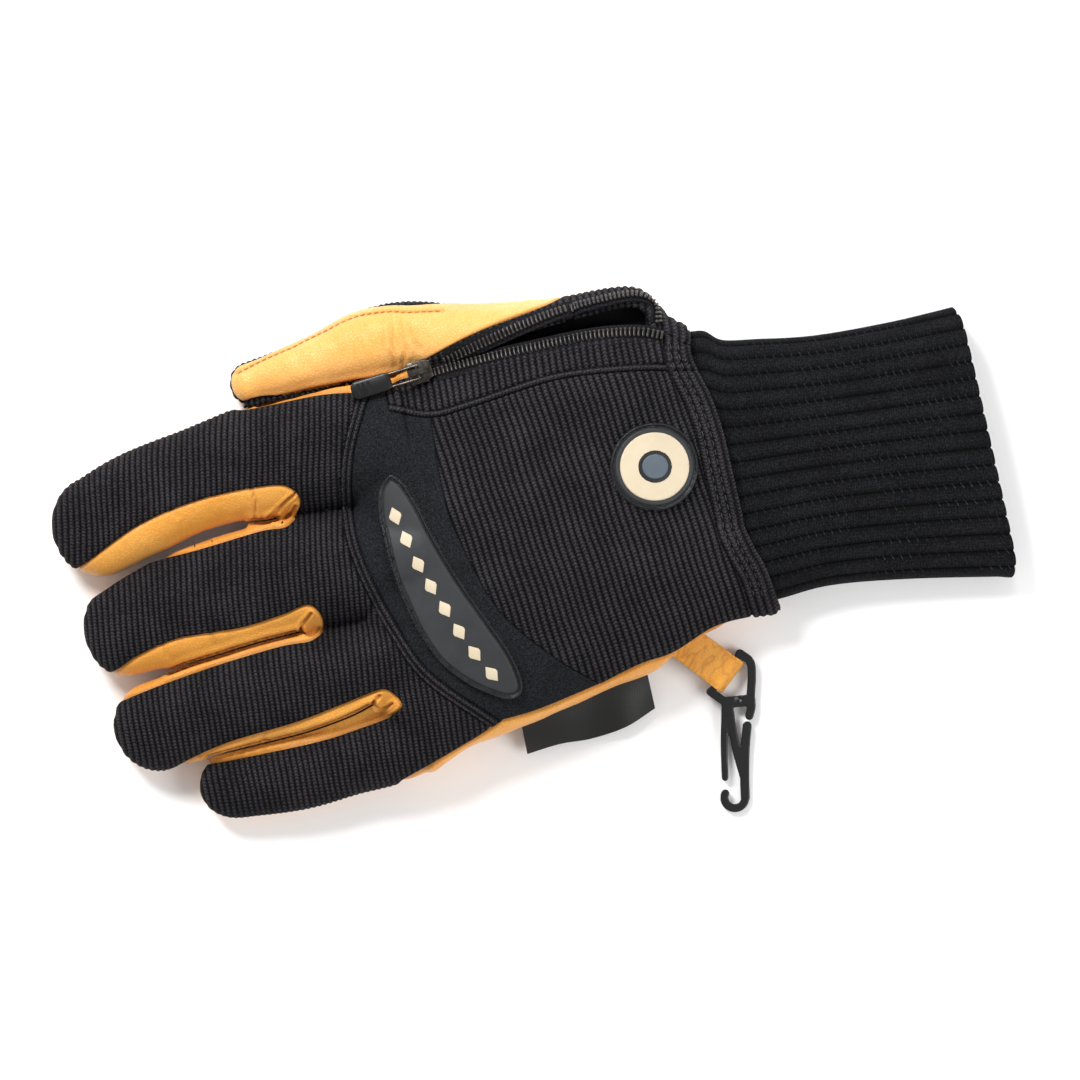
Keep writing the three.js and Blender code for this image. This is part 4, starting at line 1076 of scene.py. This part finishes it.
def in_millimetres(node_name, name):
    """A merged copy of a frame solid, in millimetres, to be reshaped."""
    bm = bmesh.new()
    bm.from_mesh(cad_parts[node_name].data)
    bmesh.ops.remove_doubles(bm, verts=bm.verts, dist=1e-6)
    bmesh.ops.transform(bm, matrix=TO_FRAME.inverted(), verts=bm.verts)
    return new_object(name, bm)


# Pocket lining, the bag under the back that the open zip shows
lining = in_millimetres("pocket_bag", "pocket_lining")
applied(lining, REMESH={"mode": "VOXEL", "voxel_size": 0.55, "adaptivity": 0})
relaxed(lining.data, 8)
finished(lining, LINING, nodes=("pocket_bag",))


def tops_of(names):
    """A search tree over the finished soft pieces, to lay small parts on them."""
    verts, faces = [], []
    for name in names:
        mesh = bpy.data.objects[name].data
        base = len(verts)
        co = (places_of(mesh) / MM - np.array([*SHIFT, 0.0]))
        verts += [tuple(p) for p in co.tolist()]
        faces += [tuple(base + k for k in f.vertices) for f in mesh.polygons]
    return BVHTree.FromPolygons(verts, faces)


soft_tree = tops_of([
    "palm_and_finger_leather", "finger_back_knit_rib", "hand_back_knit_rib", "pocket_front_knit_rib",
    "pocket_rear_knit_rib", "thumb_leather_face", "knuckle_band_neoprene",
])


def on_top(x, y):
    """The highest point of the soft pieces above a place, and the skin's smoother normal there."""
    place, _, _, _ = soft_tree.ray_cast(Vector((x, y, SKY)), Vector((0, 0, -1)))
    _, normal = on_back(x, y)
    return place or Vector((x, y, 0)), normal


def along(line, step, start=0.0):
    """Places along a line at even steps, each with its direction."""
    line = np.asarray(line, float)
    spans = np.linalg.norm(np.diff(line, axis=0), axis=1)
    run = np.concatenate([[0], np.cumsum(spans)])
    for s in np.arange(start, run[-1], step):
        k = min(int(np.searchsorted(run, s, "right")) - 1, len(spans) - 1)
        t = (s - run[k]) / spans[k]
        yield line[k] * (1 - t) + line[k + 1] * t, (line[k + 1] - line[k]) / spans[k]


def laid(direction, normal, place):
    """A turn and place whose X follows a direction on a surface and whose Z is its normal."""
    ahead = Vector((direction[0], direction[1], 0))
    ahead = (ahead - normal * ahead.dot(normal)).normalized()
    side = normal.cross(ahead)
    matrix = Matrix((ahead, side, normal)).transposed().to_4x4()
    matrix.translation = place
    return matrix


def stitches(name, lines, material, pitch=2.6, length=1.9, radius=0.2, sunk=0.05):
    """Rows of thread stitches, each a short rounded strand that lies along its line."""
    bm = bmesh.new()
    for line in lines:
        for spot, direction in along(line, pitch, pitch / 2):
            place, normal = on_top(*spot)
            matrix = laid(direction, normal, place + normal * (radius - sunk))
            shape = Matrix.Diagonal((length / 2, radius, radius * 0.9, 1))
            bmesh.ops.create_icosphere(bm, subdivisions=2, radius=1.0, matrix=matrix @ shape)
    finished(new_object(name, bm), material)


# Stitching on hems and seams
stitches("knuckle_hem_stitching", [shifted(knuckle_line[4:-4], -0.8), shifted(knuckle_line[4:-4], -2.4)],
         BLACK_THREAD)
stitches("wrist_hem_stitching", [shifted(hem_line[16:-8], d) for d in (-2.1, -4.3)], BLACK_THREAD)
stitches("thumb_seam_stitching", [curve(THUMB_STITCHES)], TAN_THREAD, pitch=1.9, length=1.45,
         radius=0.24)
stitches("pocket_strip_stitching", [shifted(pocket_seam[6:-3], 1.0)], BLACK_THREAD)

# Zip tape under each row of coil, and the coil itself
TEETH_FRONT = curve([(-29.0, 50.0), (-22.4, 51.9), (-11.2, 54.9), (0.0, 57.4), (11.2, 59.8), (20.0, 61.0),
                     (28.0, 61.2), (33.6, 60.3)])
TEETH_REAR = curve([(-26.5, 54.4), (-16.8, 58.6), (-5.6, 63.3), (5.6, 67.3), (16.8, 70.4), (26.5, 72.0),
                    (31.6, 69.5), (32.6, 64.0)])
TOOTH_PITCH = 1.2


def zip_row(name, line, node_name, inner):
    """One row of coil: turns of a thick filament that loop over the tape's edge."""
    bm = bmesh.new()
    for spot, direction in along(line, TOOTH_PITCH):
        place, normal = on_back(*spot)
        matrix = laid(direction, normal, place + normal * 0.95)
        turn = bmesh.ops.create_cube(bm, size=1.0, matrix=matrix @ Matrix.Diagonal((0.78, 2.3, 0.95, 1)))
        edges = list({e for v in turn["verts"] for e in v.link_edges})
        bmesh.ops.bevel(bm, geom=edges, offset=0.3, segments=2, affect="EDGES", profile=0.5, material=-1)
        head = matrix @ Matrix.Translation((0, inner * 1.15, 0.05)) @ Matrix.Diagonal((0.55, 0.5, 0.62, 1))
        bmesh.ops.create_icosphere(bm, subdivisions=2, radius=1.0, matrix=head)
    finished(new_object(name, bm), COIL, nodes=(node_name,), angle=50)
    grid = []
    for offset in np.linspace(-2.6, 2.6, 9):
        strip = []
        for spot, direction in along(line, 1.0):
            place, normal = on_back(*spot)
            side = normal.cross(Vector((*direction, 0))).normalized()
            drop = 0.12 * abs(offset)
            strip.append(place + side * offset + normal * (0.62 - drop))
        grid.append(strip)
    tape = grid_piece(f"{name}_tape", grid)
    with edited(tape) as bm:
        bmesh.ops.recalc_face_normals(bm, faces=bm.faces)
        if sum(f.normal.z for f in bm.faces) < 0:
            bmesh.ops.reverse_faces(bm, faces=bm.faces)
    thick(tape, 0.45)
    finished(tape, TAPE, angle=60)


zip_row("zip_coil_front", TEETH_FRONT, "zip_teeth_front", 1)
zip_row("zip_coil_rear", TEETH_REAR, "zip_teeth_rear", -1)


# Slider, link and grip, drawn flat with the pull along +X and set on the end of the zip
SLIDER_AT = (Matrix.Translation((-33.4, 50.8, 22.95)) @ Matrix.Rotation(math.radians(197), 4, "Z")
             @ Matrix.Rotation(math.radians(4), 4, "Y"))
SLIDER_HALF = [(-3.5, -2.3), (-1.6, -3.0), (0.4, -3.2), (2.6, -3.15), (3.5, -2.6)]
GRIP_HALF = [(8.3, -2.1), (9.6, -2.6), (18.6, -2.6), (19.8, -1.6)]
PULL_HEIGHT = 3.0           # of the link and the grip over the slider's underside

# The slider's neck, posts, flanges and bridge: size, middle and rounding of each block
SLIDER_BLOCKS = [
    ((2.2, 1.6, 1.6), (-1.9, 0, 1.0), 0.3),
    ((0.95, 1.8, 2.5), (-2.45, 0, 3.0), 0.3), ((5.0, 0.6, 1.1), (0.6, -2.9, 1.35), 0.22),
    ((0.95, 1.8, 2.5), (2.45, 0, 3.0), 0.3), ((5.0, 0.6, 1.1), (0.6, 2.9, 1.35), 0.22),
    ((5.8, 1.9, 0.85), (0, 0, 4.15), 0.36),
]
WIRE = 0.44                 # radius of the link's wire, and half the link's width
LINK_HALF = 1.85
LINK_ENDS = (0.6, 9.8)


def both_sides(half):
    """A closed outline from its lower half, mirrored."""
    return half + [(x, -y) for x, y in half[::-1]]


def bevelled_block(bm, size, centre, edge, segments=3, outline=None):
    """A block, or an upright outline, with all its edges rounded."""
    start = len(bm.verts)
    if outline is None:
        bmesh.ops.create_cube(bm, size=1.0, matrix=Matrix.Translation(centre) @ Matrix.Diagonal((*size, 1)))
    else:
        low, high = centre[2] - size[2] / 2, centre[2] + size[2] / 2
        verts = [bm.verts.new((centre[0] + x, centre[1] + y, low)) for x, y in outline]
        made = bmesh.ops.extrude_face_region(bm, geom=[bm.faces.new(verts)])
        top = [v for v in made["geom"] if isinstance(v, bmesh.types.BMVert)]
        bmesh.ops.translate(bm, verts=top, vec=(0, 0, high - low))
    bm.verts.ensure_lookup_table()
    verts = bm.verts[start:]
    faces = {f for v in verts for f in v.link_faces}
    bmesh.ops.recalc_face_normals(bm, faces=list(faces))
    edges = [e for e in {e for v in verts for e in v.link_edges} if e.calc_face_angle(0) > 0.3]
    bmesh.ops.bevel(bm, geom=edges, offset=edge, segments=segments, affect="EDGES", profile=0.5, material=-1,
                    clamp_overlap=True)


def placed(bm, matrix):
    """Moves all that a bmesh holds."""
    bmesh.ops.transform(bm, matrix=matrix, verts=bm.verts)


def slider_pieces():
    """The zip's slider with its bridge, the wire link and the moulded grip."""
    wide = both_sides(SLIDER_HALF)
    bm = bmesh.new()
    bevelled_block(bm, (0, 0, 0.75), (0, 0, 1.62), 0.3, outline=wide)
    bevelled_block(bm, (0, 0, 0.7), (0, 0, 0.35), 0.25, outline=[(x * 0.95, y * 0.9) for x, y in wide])
    for size, centre, edge in SLIDER_BLOCKS:
        bevelled_block(bm, size, centre, edge)
    placed(bm, SLIDER_AT)
    finished(new_object("zip_slider_body", bm), GUNMETAL, nodes=("zip_slider",), angle=40)

    bm = bmesh.new()
    near, far = LINK_ENDS
    path = [(near, -LINK_HALF), (near, LINK_HALF), (far, LINK_HALF), (far, -LINK_HALF)]
    for (ax, ay), (bx, by) in zip(path, path[1:] + path[:1]):
        length = math.dist((ax, ay), (bx, by)) + 2 * WIRE
        heading = Matrix.Rotation(math.atan2(by - ay, bx - ax), 4, "Z")
        centre = Matrix.Translation(((ax + bx) / 2, (ay + by) / 2, PULL_HEIGHT))
        before = len(bm.verts)
        bmesh.ops.create_cone(bm, cap_ends=True, segments=20, radius1=WIRE, radius2=WIRE, depth=length,
                              matrix=centre @ heading @ Matrix.Rotation(math.pi / 2, 4, "Y"))
        bm.verts.ensure_lookup_table()
        rims = [e for e in {e for v in bm.verts[before:] for e in v.link_edges} if e.calc_face_angle(0) > 1.0]
        bmesh.ops.bevel(bm, geom=rims, offset=0.2, segments=3, affect="EDGES", profile=0.5, material=-1)
    placed(bm, SLIDER_AT)
    finished(new_object("zip_link_wire", bm), GUNMETAL, body="zip_pull", nodes=("zip_link",),
             angle=45)

    bm = bmesh.new()
    bevelled_block(bm, (0, 0, 2.2), (0, 0, PULL_HEIGHT), 0.6, outline=both_sides(GRIP_HALF))
    for k in range(3):
        for face in (1.05, -1.05):
            bevelled_block(bm, (0.75, 3.4, 0.5), (14.6 + 1.5 * k, 0, PULL_HEIGHT + face), 0.2)
    placed(bm, SLIDER_AT)
    finished(new_object("zip_pull_grip_moulded", bm), PLASTIC, body="zip_pull",
             nodes=("zip_pull_grip",), angle=40)


slider_pieces()


# Rubber badges on the knuckles and the wrist
def badge_layer(name, outline, lift, depth, material, node_name=None, rim=0.0, rim_width=0.0, round_off=0.35):
    """A moulded layer that follows the back, with a raised rim where it has one."""
    piece = patch_of(name, outline, HAND_SEAM_Z)
    co = places_of(piece.data)
    edge, _ = distance_to(outline, co[:, :2], closed=True)
    height = lift - rolled(edge, round_off)
    if rim:
        height = height + rim * (1 - smoothstep((edge - rim_width + 0.15) / 0.3))
    moved(piece, height)
    thick(piece, depth)
    finished(piece, material, nodes=(node_name,) if node_name else (), angle=45)


LEAF = [
    (-41.8, 21.7), (-44.2, 17.2), (-43.8, 8.3), (-40.9, -4.2), (-37.1, -14.0), (-32.9, -22.5),
    (-27.5, -30.1), (-19.9, -35.9), (-11.9, -39.3), (-7.8, -39.7), (-5.2, -37.7), (-5.6, -33.7),
    (-8.7, -27.0), (-14.6, -18.5), (-22.6, -6.9), (-29.7, 5.2), (-33.3, 12.3), (-37.3, 18.6), (-40.5, 21.5),
]
leaf = curve([*LEAF, LEAF[0]], 1.0)[:-1]
raised_rim = {"rim": 0.7, "rim_width": 0.6, "round_off": 0.25}
badge_layer("knuckle_badge_rim", leaf, 1.3, 1.2, RIM_RUBBER, "knuckle_badge", **raised_rim)
badge_layer("knuckle_badge_plate", inset(leaf, 1.2), 1.75, 0.8, RUBBER, round_off=0.5)

# Plain lozenges in a row along the leaf
LOZENGE = [(-2.7, 0.0), (-0.4, -1.75), (0.4, -1.75), (2.7, 0.0), (0.4, 1.75), (-0.4, 1.75)]
LOZENGE_LINE = [
    (-41.0, 13.4), (-39.2, 8.6), (-34.4, -1.6), (-27.0, -14.0), (-19.6, -25.6), (-12.4, -34.4),
    (-10.0, -37.2),
]
LOZENGE_PITCH = 7.3


def lozenges():
    bm = bmesh.new()
    for spot, direction in along(curve(LOZENGE_LINE, 0.5), LOZENGE_PITCH, 3.2):
        place, normal = on_back(*spot)
        one = bmesh.new()
        bevelled_block(one, (0, 0, 0.8), (0, 0, 0), 0.16, outline=LOZENGE)
        placed(one, laid(direction, normal, place + normal * 1.55))
        mesh = bpy.data.meshes.new("lozenge")
        one.to_mesh(mesh)
        one.free()
        bm.from_mesh(mesh)
    finished(new_object("knuckle_badge_lozenges", bm), CREAM_RUBBER, angle=40)


lozenges()

# The round badge: plain layers on the same middle
ROUND_BADGE = (31.6, 24.2)


def disc(radius, steps=72):
    """The outline of a round layer of that badge."""
    angles = np.linspace(0, 2 * math.pi, steps, endpoint=False)
    x, y = ROUND_BADGE
    return np.column_stack([x + radius * np.cos(angles), y + radius * np.sin(angles)])


badge_layer("wrist_badge_rim", disc(12.0), 1.3, 1.2, RIM_RUBBER, "wrist_badge", **raised_rim)
badge_layer("wrist_badge_plate", disc(10.8), 1.75, 0.8, RUBBER, round_off=0.4)
badge_layer("wrist_badge_disc", disc(9.5), 2.0, 0.6, CREAM_RUBBER, round_off=0.3)
badge_layer("wrist_badge_middle", disc(4.6), 2.15, 0.6, RIM_RUBBER)
badge_layer("wrist_badge_dot", disc(3.5), 2.35, 0.6, GREY_RUBBER)


# Satin side label, sewn into the side seam: inner x and y, outer x, y and height
LABEL = [
    (-5.5, -46.5, -3.6, -56.1, 2.6), (5.0, -42.0, 5.6, -53.3, 3.6), (14.0, -37.5, 14.5, -51.8, 2.4),
    (22.0, -34.0, 24.0, -48.6, 4.0), (29.5, -31.0, 32.2, -43.3, 2.8),
]
LABEL_ROOT_Z = 8.0


def side_label():
    """A short bare ribbon that leaves the seam and waves along its free edge."""
    columns = 60
    rows = [table_at(LABEL, (len(LABEL) - 1) * k / columns) for k in range(columns + 1)]
    grid = []
    for t in np.linspace(0, 1, 22):
        strip = []
        for ix, iy, ox, oy, low in rows:
            z = LABEL_ROOT_Z + (low - LABEL_ROOT_Z) * (t ** 1.3) + 0.5 * math.sin(math.pi * t)
            strip.append((ix + (ox - ix) * t, iy + (oy - iy) * t, z))
        grid.append(strip)
    label = grid_piece("side_label_satin", grid)
    thick(label, 0.35)
    finished(label, SATIN, nodes=("side_label",), angle=60)


side_label()

# Leather hang loop, one strap folded round the bar of the hook
LOOP_ROOT = (42.7, -26.4)
LOOP_HEADING = math.radians(-37)
LOOP_WIDTH = 10.4
LOOP_LEATHER = 1.2
LOOP_REACH = 11.4
EYE = 1.75
FOLD = EYE + LOOP_LEATHER
loop_frame = Matrix.Translation((*LOOP_ROOT, 0)) @ Matrix.Rotation(LOOP_HEADING, 4, "Z")

# Side view of the strap's middle line, out over the bar and back under it: run and height
STRAP_OUT = [(-8.0, 8.6), (-3.0, 7.9), (2.0, 7.1), (6.0, 6.1), (9.3, 5.35)]
STRAP_BACK = [(8.6, 0.85), (6.0, 1.5), (2.0, 3.6), (-3.0, 5.2), (-8.0, 6.2)]


def hang_loop():
    """The strap's middle line goes out over the bar, round it and back underneath."""
    radius = EYE + LOOP_LEATHER / 2
    path = list(STRAP_OUT)
    for k in range(9):
        angle = math.pi / 2 * 0.86 - k * math.pi * 0.93 / 8
        path.append((LOOP_REACH + radius * math.cos(angle), FOLD + 0.05 + radius * math.sin(angle)))
    line = curve(path + STRAP_BACK, 0.35)
    grid = []
    for t in np.linspace(-1, 1, 31):
        strip = []
        for run, z in line:
            pinch = 1 - 0.03 * math.exp(-((run - 1) / 4) ** 2)
            dome = 0.18 * (1 - t * t) * (1 if z > FOLD else -1)
            strip.append(loop_frame @ Vector((run, t * LOOP_WIDTH / 2 * pinch, z + dome)))
        grid.append(strip)
    strap = grid_piece("hang_loop_strap", grid)
    applied(strap, SOLIDIFY={"thickness": LOOP_LEATHER, "offset": 0.0, "use_even_offset": True},
            BEVEL={"width": 0.25, "segments": 2, "limit_method": "ANGLE"})
    outward(strap)
    co = places_of(strap.data)
    local = co @ np.array(loop_frame.inverted().to_3x3()).T
    lines = np.array([noise.noise(Vector((x / 1.6, y / 4.5, z / 3))) for x, y, z in local.tolist()])
    moved(strap, 0.12 - 0.7 * np.clip(0.22 - np.abs(lines), 0, 1))
    # Painted shade in the wrinkle lines
    with_attribute(strap, "painted_shade", 2.0 * np.clip(0.2 - np.abs(lines), 0, 1))
    finished(strap, STRAP_LEATHER, nodes=("hang_loop",), angle=40)


hang_loop()

# Moulded hook: flat strokes with rounded edges, from the bar to the round end
HOOK_THICK = 2.2
HOOK_FALL = 0.072
HOOK_STROKES = [
    (1.8, [(56.1, -28.0), (47.9, -38.8)]),
    (2.4, [(56.1, -28.0), (59.0, -30.4), (59.5, -34.5), (59.2, -40.0), (59.4, -43.0), (58.8, -45.6)]),
    (2.4, [(47.9, -38.8), (52.6, -42.2)]),
    (3.2, [(52.6, -41.8), (59.0, -41.2)]),
    (1.9, [(51.9, -42.8), (51.7, -53.6), (52.0, -63.0)]),
    (2.3, [(53.1, -42.7), (54.8, -53.6), (57.2, -62.5)]),
    (2.6, [(58.2, -48.4), (57.7, -54.0), (57.5, -62.0), (57.7, -68.6)]),
]
HOOK_BEND = {"x": 54.75, "y": -68.6, "radius": 2.95, "width": 2.3, "start": 10, "end": -205}
HOOK_DIMPLE = (55.9, -40.8)


def stroke(width, points):
    """A flat bar along a line, with round ends."""
    line = curve(points, 0.4) if len(points) > 2 else np.array(points, float)
    left, right = shifted(line, width / 2), shifted(line, -width / 2)[::-1]
    caps = []
    for tip, side in ((line[-1], left[-1]), (line[0], right[-1])):
        start = math.atan2(*(side - tip)[::-1])
        caps.append([tip + width / 2 * np.array([math.cos(start - a), math.sin(start - a)])
                     for a in np.linspace(0.3, math.pi - 0.3, 7)])
    return prism("hook_stroke", np.vstack([left, caps[0], right, caps[1]]), 0, HOOK_THICK)


def hook():
    """The moulded hook, which falls from the loop's eye towards the table."""
    bend = HOOK_BEND
    arc = [(bend["x"] + bend["radius"] * math.cos(math.radians(a)),
            bend["y"] + bend["radius"] * math.sin(math.radians(a)))
           for a in np.linspace(bend["start"], bend["end"], 24)]
    pieces = [stroke(width, points) for width, points in [*HOOK_STROKES, (bend["width"], arc)]]
    moulding = merged("glove_hook_moulded", pieces, 0.2, 5)
    co = places_of(moulding.data)
    heading = np.array([math.cos(LOOP_HEADING), math.sin(LOOP_HEADING)])
    past_bar = (co[:, :2] - np.array(LOOP_ROOT)) @ heading - LOOP_REACH
    dimple = 0.45 * np.exp(-(np.hypot(*(co[:, :2] - HOOK_DIMPLE).T) / 0.8) ** 2)
    co[:, 2] += FOLD - HOOK_THICK / 2 - HOOK_FALL * past_bar - dimple * (co[:, 2] > HOOK_THICK / 2)
    co[:, 2] = np.maximum(co[:, 2], 0)
    put_places(moulding.data, co)
    finished(moulding, PLASTIC, nodes=("glove_hook",))


hook()

# Ribbed cuff: plump ribs with narrow grooves, loops across each groove and a scalloped end
RIBS = 34
RIB_POINTS = 10
RIB_DEPTH = 0.6
RIB_FULLNESS = 0.32         # the smaller, the plumper the ribs and the narrower their grooves
CUFF_POWER = 2.5
CUFF_DEPTH = 1.5
CUFF_STEPS = 96             # rows of the mesh from the hem to the end
INSIDE_PALM = 2.6           # the cuff's underside over the palm leather, up to the hem's end
HEM_END = 62.0


def even_angles(row, count):
    """Angles that part a section's outline into equal lengths."""
    fine = np.linspace(0, 2 * math.pi, 1441)
    ring = section(row, fine, 0.0, CUFF_POWER)
    run = np.concatenate([[0], np.cumsum(np.linalg.norm(np.diff(ring, axis=0), axis=1))])
    return np.interp(np.linspace(0, run[-1], count + 1), run, fine)


def cuff():
    """The ribbed tube from under the hem to its scalloped end."""
    steps = CUFF_STEPS
    around = RIBS * RIB_POINTS
    phase = np.arange(around + 1) / RIB_POINTS
    wave = np.abs(np.sin(math.pi * phase)) ** RIB_FULLNESS
    rows = np.array([table_at(CUFF_ROWS, (len(CUFF_ROWS) - 1) * k / steps) for k in range(steps + 1)])
    hops = np.hypot(*np.diff(rows[:, :2] + rows[:, 2:4], axis=0).T) / 2
    run = np.concatenate([[0.0], np.cumsum(hops)])
    grid = []
    for k, row in enumerate(rows):
        t = k / steps
        angles = even_angles(row, around)
        swell = 0.5 * math.sin(5.2 * t + 0.6) * (1 - 0.3 * t)
        end = smoothstep((t - 0.965) / 0.035)
        ring = section(row, angles, swell + 0.2, CUFF_POWER)
        inner = section(row, angles, swell + 0.2 - RIB_DEPTH, CUFF_POWER)
        pushed = ring * wave[:, None] + inner * (1 - wave[:, None])
        across = np.array([row[0] - row[2], row[1] - row[3]])
        ahead = np.array([across[1], -across[0]]) / np.hypot(*across)
        pushed[:, :2] += ahead * (0.5 * wave * end - 2.2 * end * np.abs(np.cos(angles)) ** 14)[:, None]
        lowest = TABLE_GAP + (INSIDE_PALM if row[0] < HEM_END else 0.0)
        pushed[:, 2] = np.maximum(pushed[:, 2], lowest)
        grid.append(pushed)
    piece = grid_piece("rib_knit_cuff", grid, seam=True)
    outward(piece)
    if sum(f.normal.z * f.area for f in piece.data.polygons if f.center.z > 12) < 0:
        piece.data.flip_normals()
    layer = piece.data.uv_layers[0]
    uv = np.empty(len(layer.data) * 2, np.float32)
    layer.data.foreach_get("uv", uv)
    uv = uv.reshape(-1, 2)
    uv[:, 0] *= RIBS
    uv[:, 1] = np.interp(uv[:, 1], np.linspace(0, 1, steps + 1), run) / CUFF_RIB
    layer.data.foreach_set("uv", uv.ravel())
    thick(piece, CUFF_DEPTH)
    finished(piece, CUFF_KNIT, nodes=("cuff",), angle=70)


cuff()

removed(skin)

# Floor, lights and camera: straight above, as in the photograph
FRAME_MM = 302.4            # width of the photograph's frame on the glove
FRAME_MIDDLE = (0.0, 3.8)
CAMERA_HEIGHT = 3.0
FACE_HEIGHT = 0.012         # m, height at which the photograph's scale holds
SENSOR = 36.0

# Lamps: place and size in metres, and power in watts
LAMPS = [
    ("key_light", (-0.55, 0.75, 1.0), 0.5, 20), ("fill_light", (0.9, -0.3, 0.9), 0.8, 9),
    ("rim_light", (0.1, 1.1, 0.45), 0.4, 4),
]

bm = bmesh.new()
bmesh.ops.create_grid(bm, x_segments=2, y_segments=2, size=6.0)
floor = new_object("floor", bm)
floor_finish, _, _ = base_material("matt_white_paper", "fafafa", 0.9)
floor.data.materials.append(floor_finish)
floor.data.transform(Matrix.Translation((0, 0, -0.0002)))


def area_light(name, place, size, power, aim=(0, 0, 0.01)):
    data = bpy.data.lights.new(name, "AREA")
    data.shape = "DISK"
    data.size = size
    data.energy = power
    lamp = in_scene(name, data)
    lamp.location = place
    lamp.rotation_euler = (Vector(aim) - Vector(place)).to_track_quat("-Z", "Y").to_euler()


for name, place, size, power in LAMPS:
    area_light(name, place, size, power)
world = bpy.data.worlds.new("studio")
world.use_nodes = True
world.node_tree.nodes["Background"].inputs["Color"].default_value = (1, 1, 1, 1)
world.node_tree.nodes["Background"].inputs["Strength"].default_value = 0.55
bpy.context.scene.world = world
bpy.context.scene.view_settings.view_transform = "Standard"

camera_data = bpy.data.cameras.new("camera")
camera_data.sensor_width = SENSOR
camera_data.lens = SENSOR * (CAMERA_HEIGHT - FACE_HEIGHT) / (FRAME_MM * MM)
camera = in_scene("camera", camera_data)
camera.location = ((FRAME_MIDDLE[0] + SHIFT[0]) * MM, (FRAME_MIDDLE[1] + SHIFT[1]) * MM, CAMERA_HEIGHT)
bpy.context.scene.camera = camera
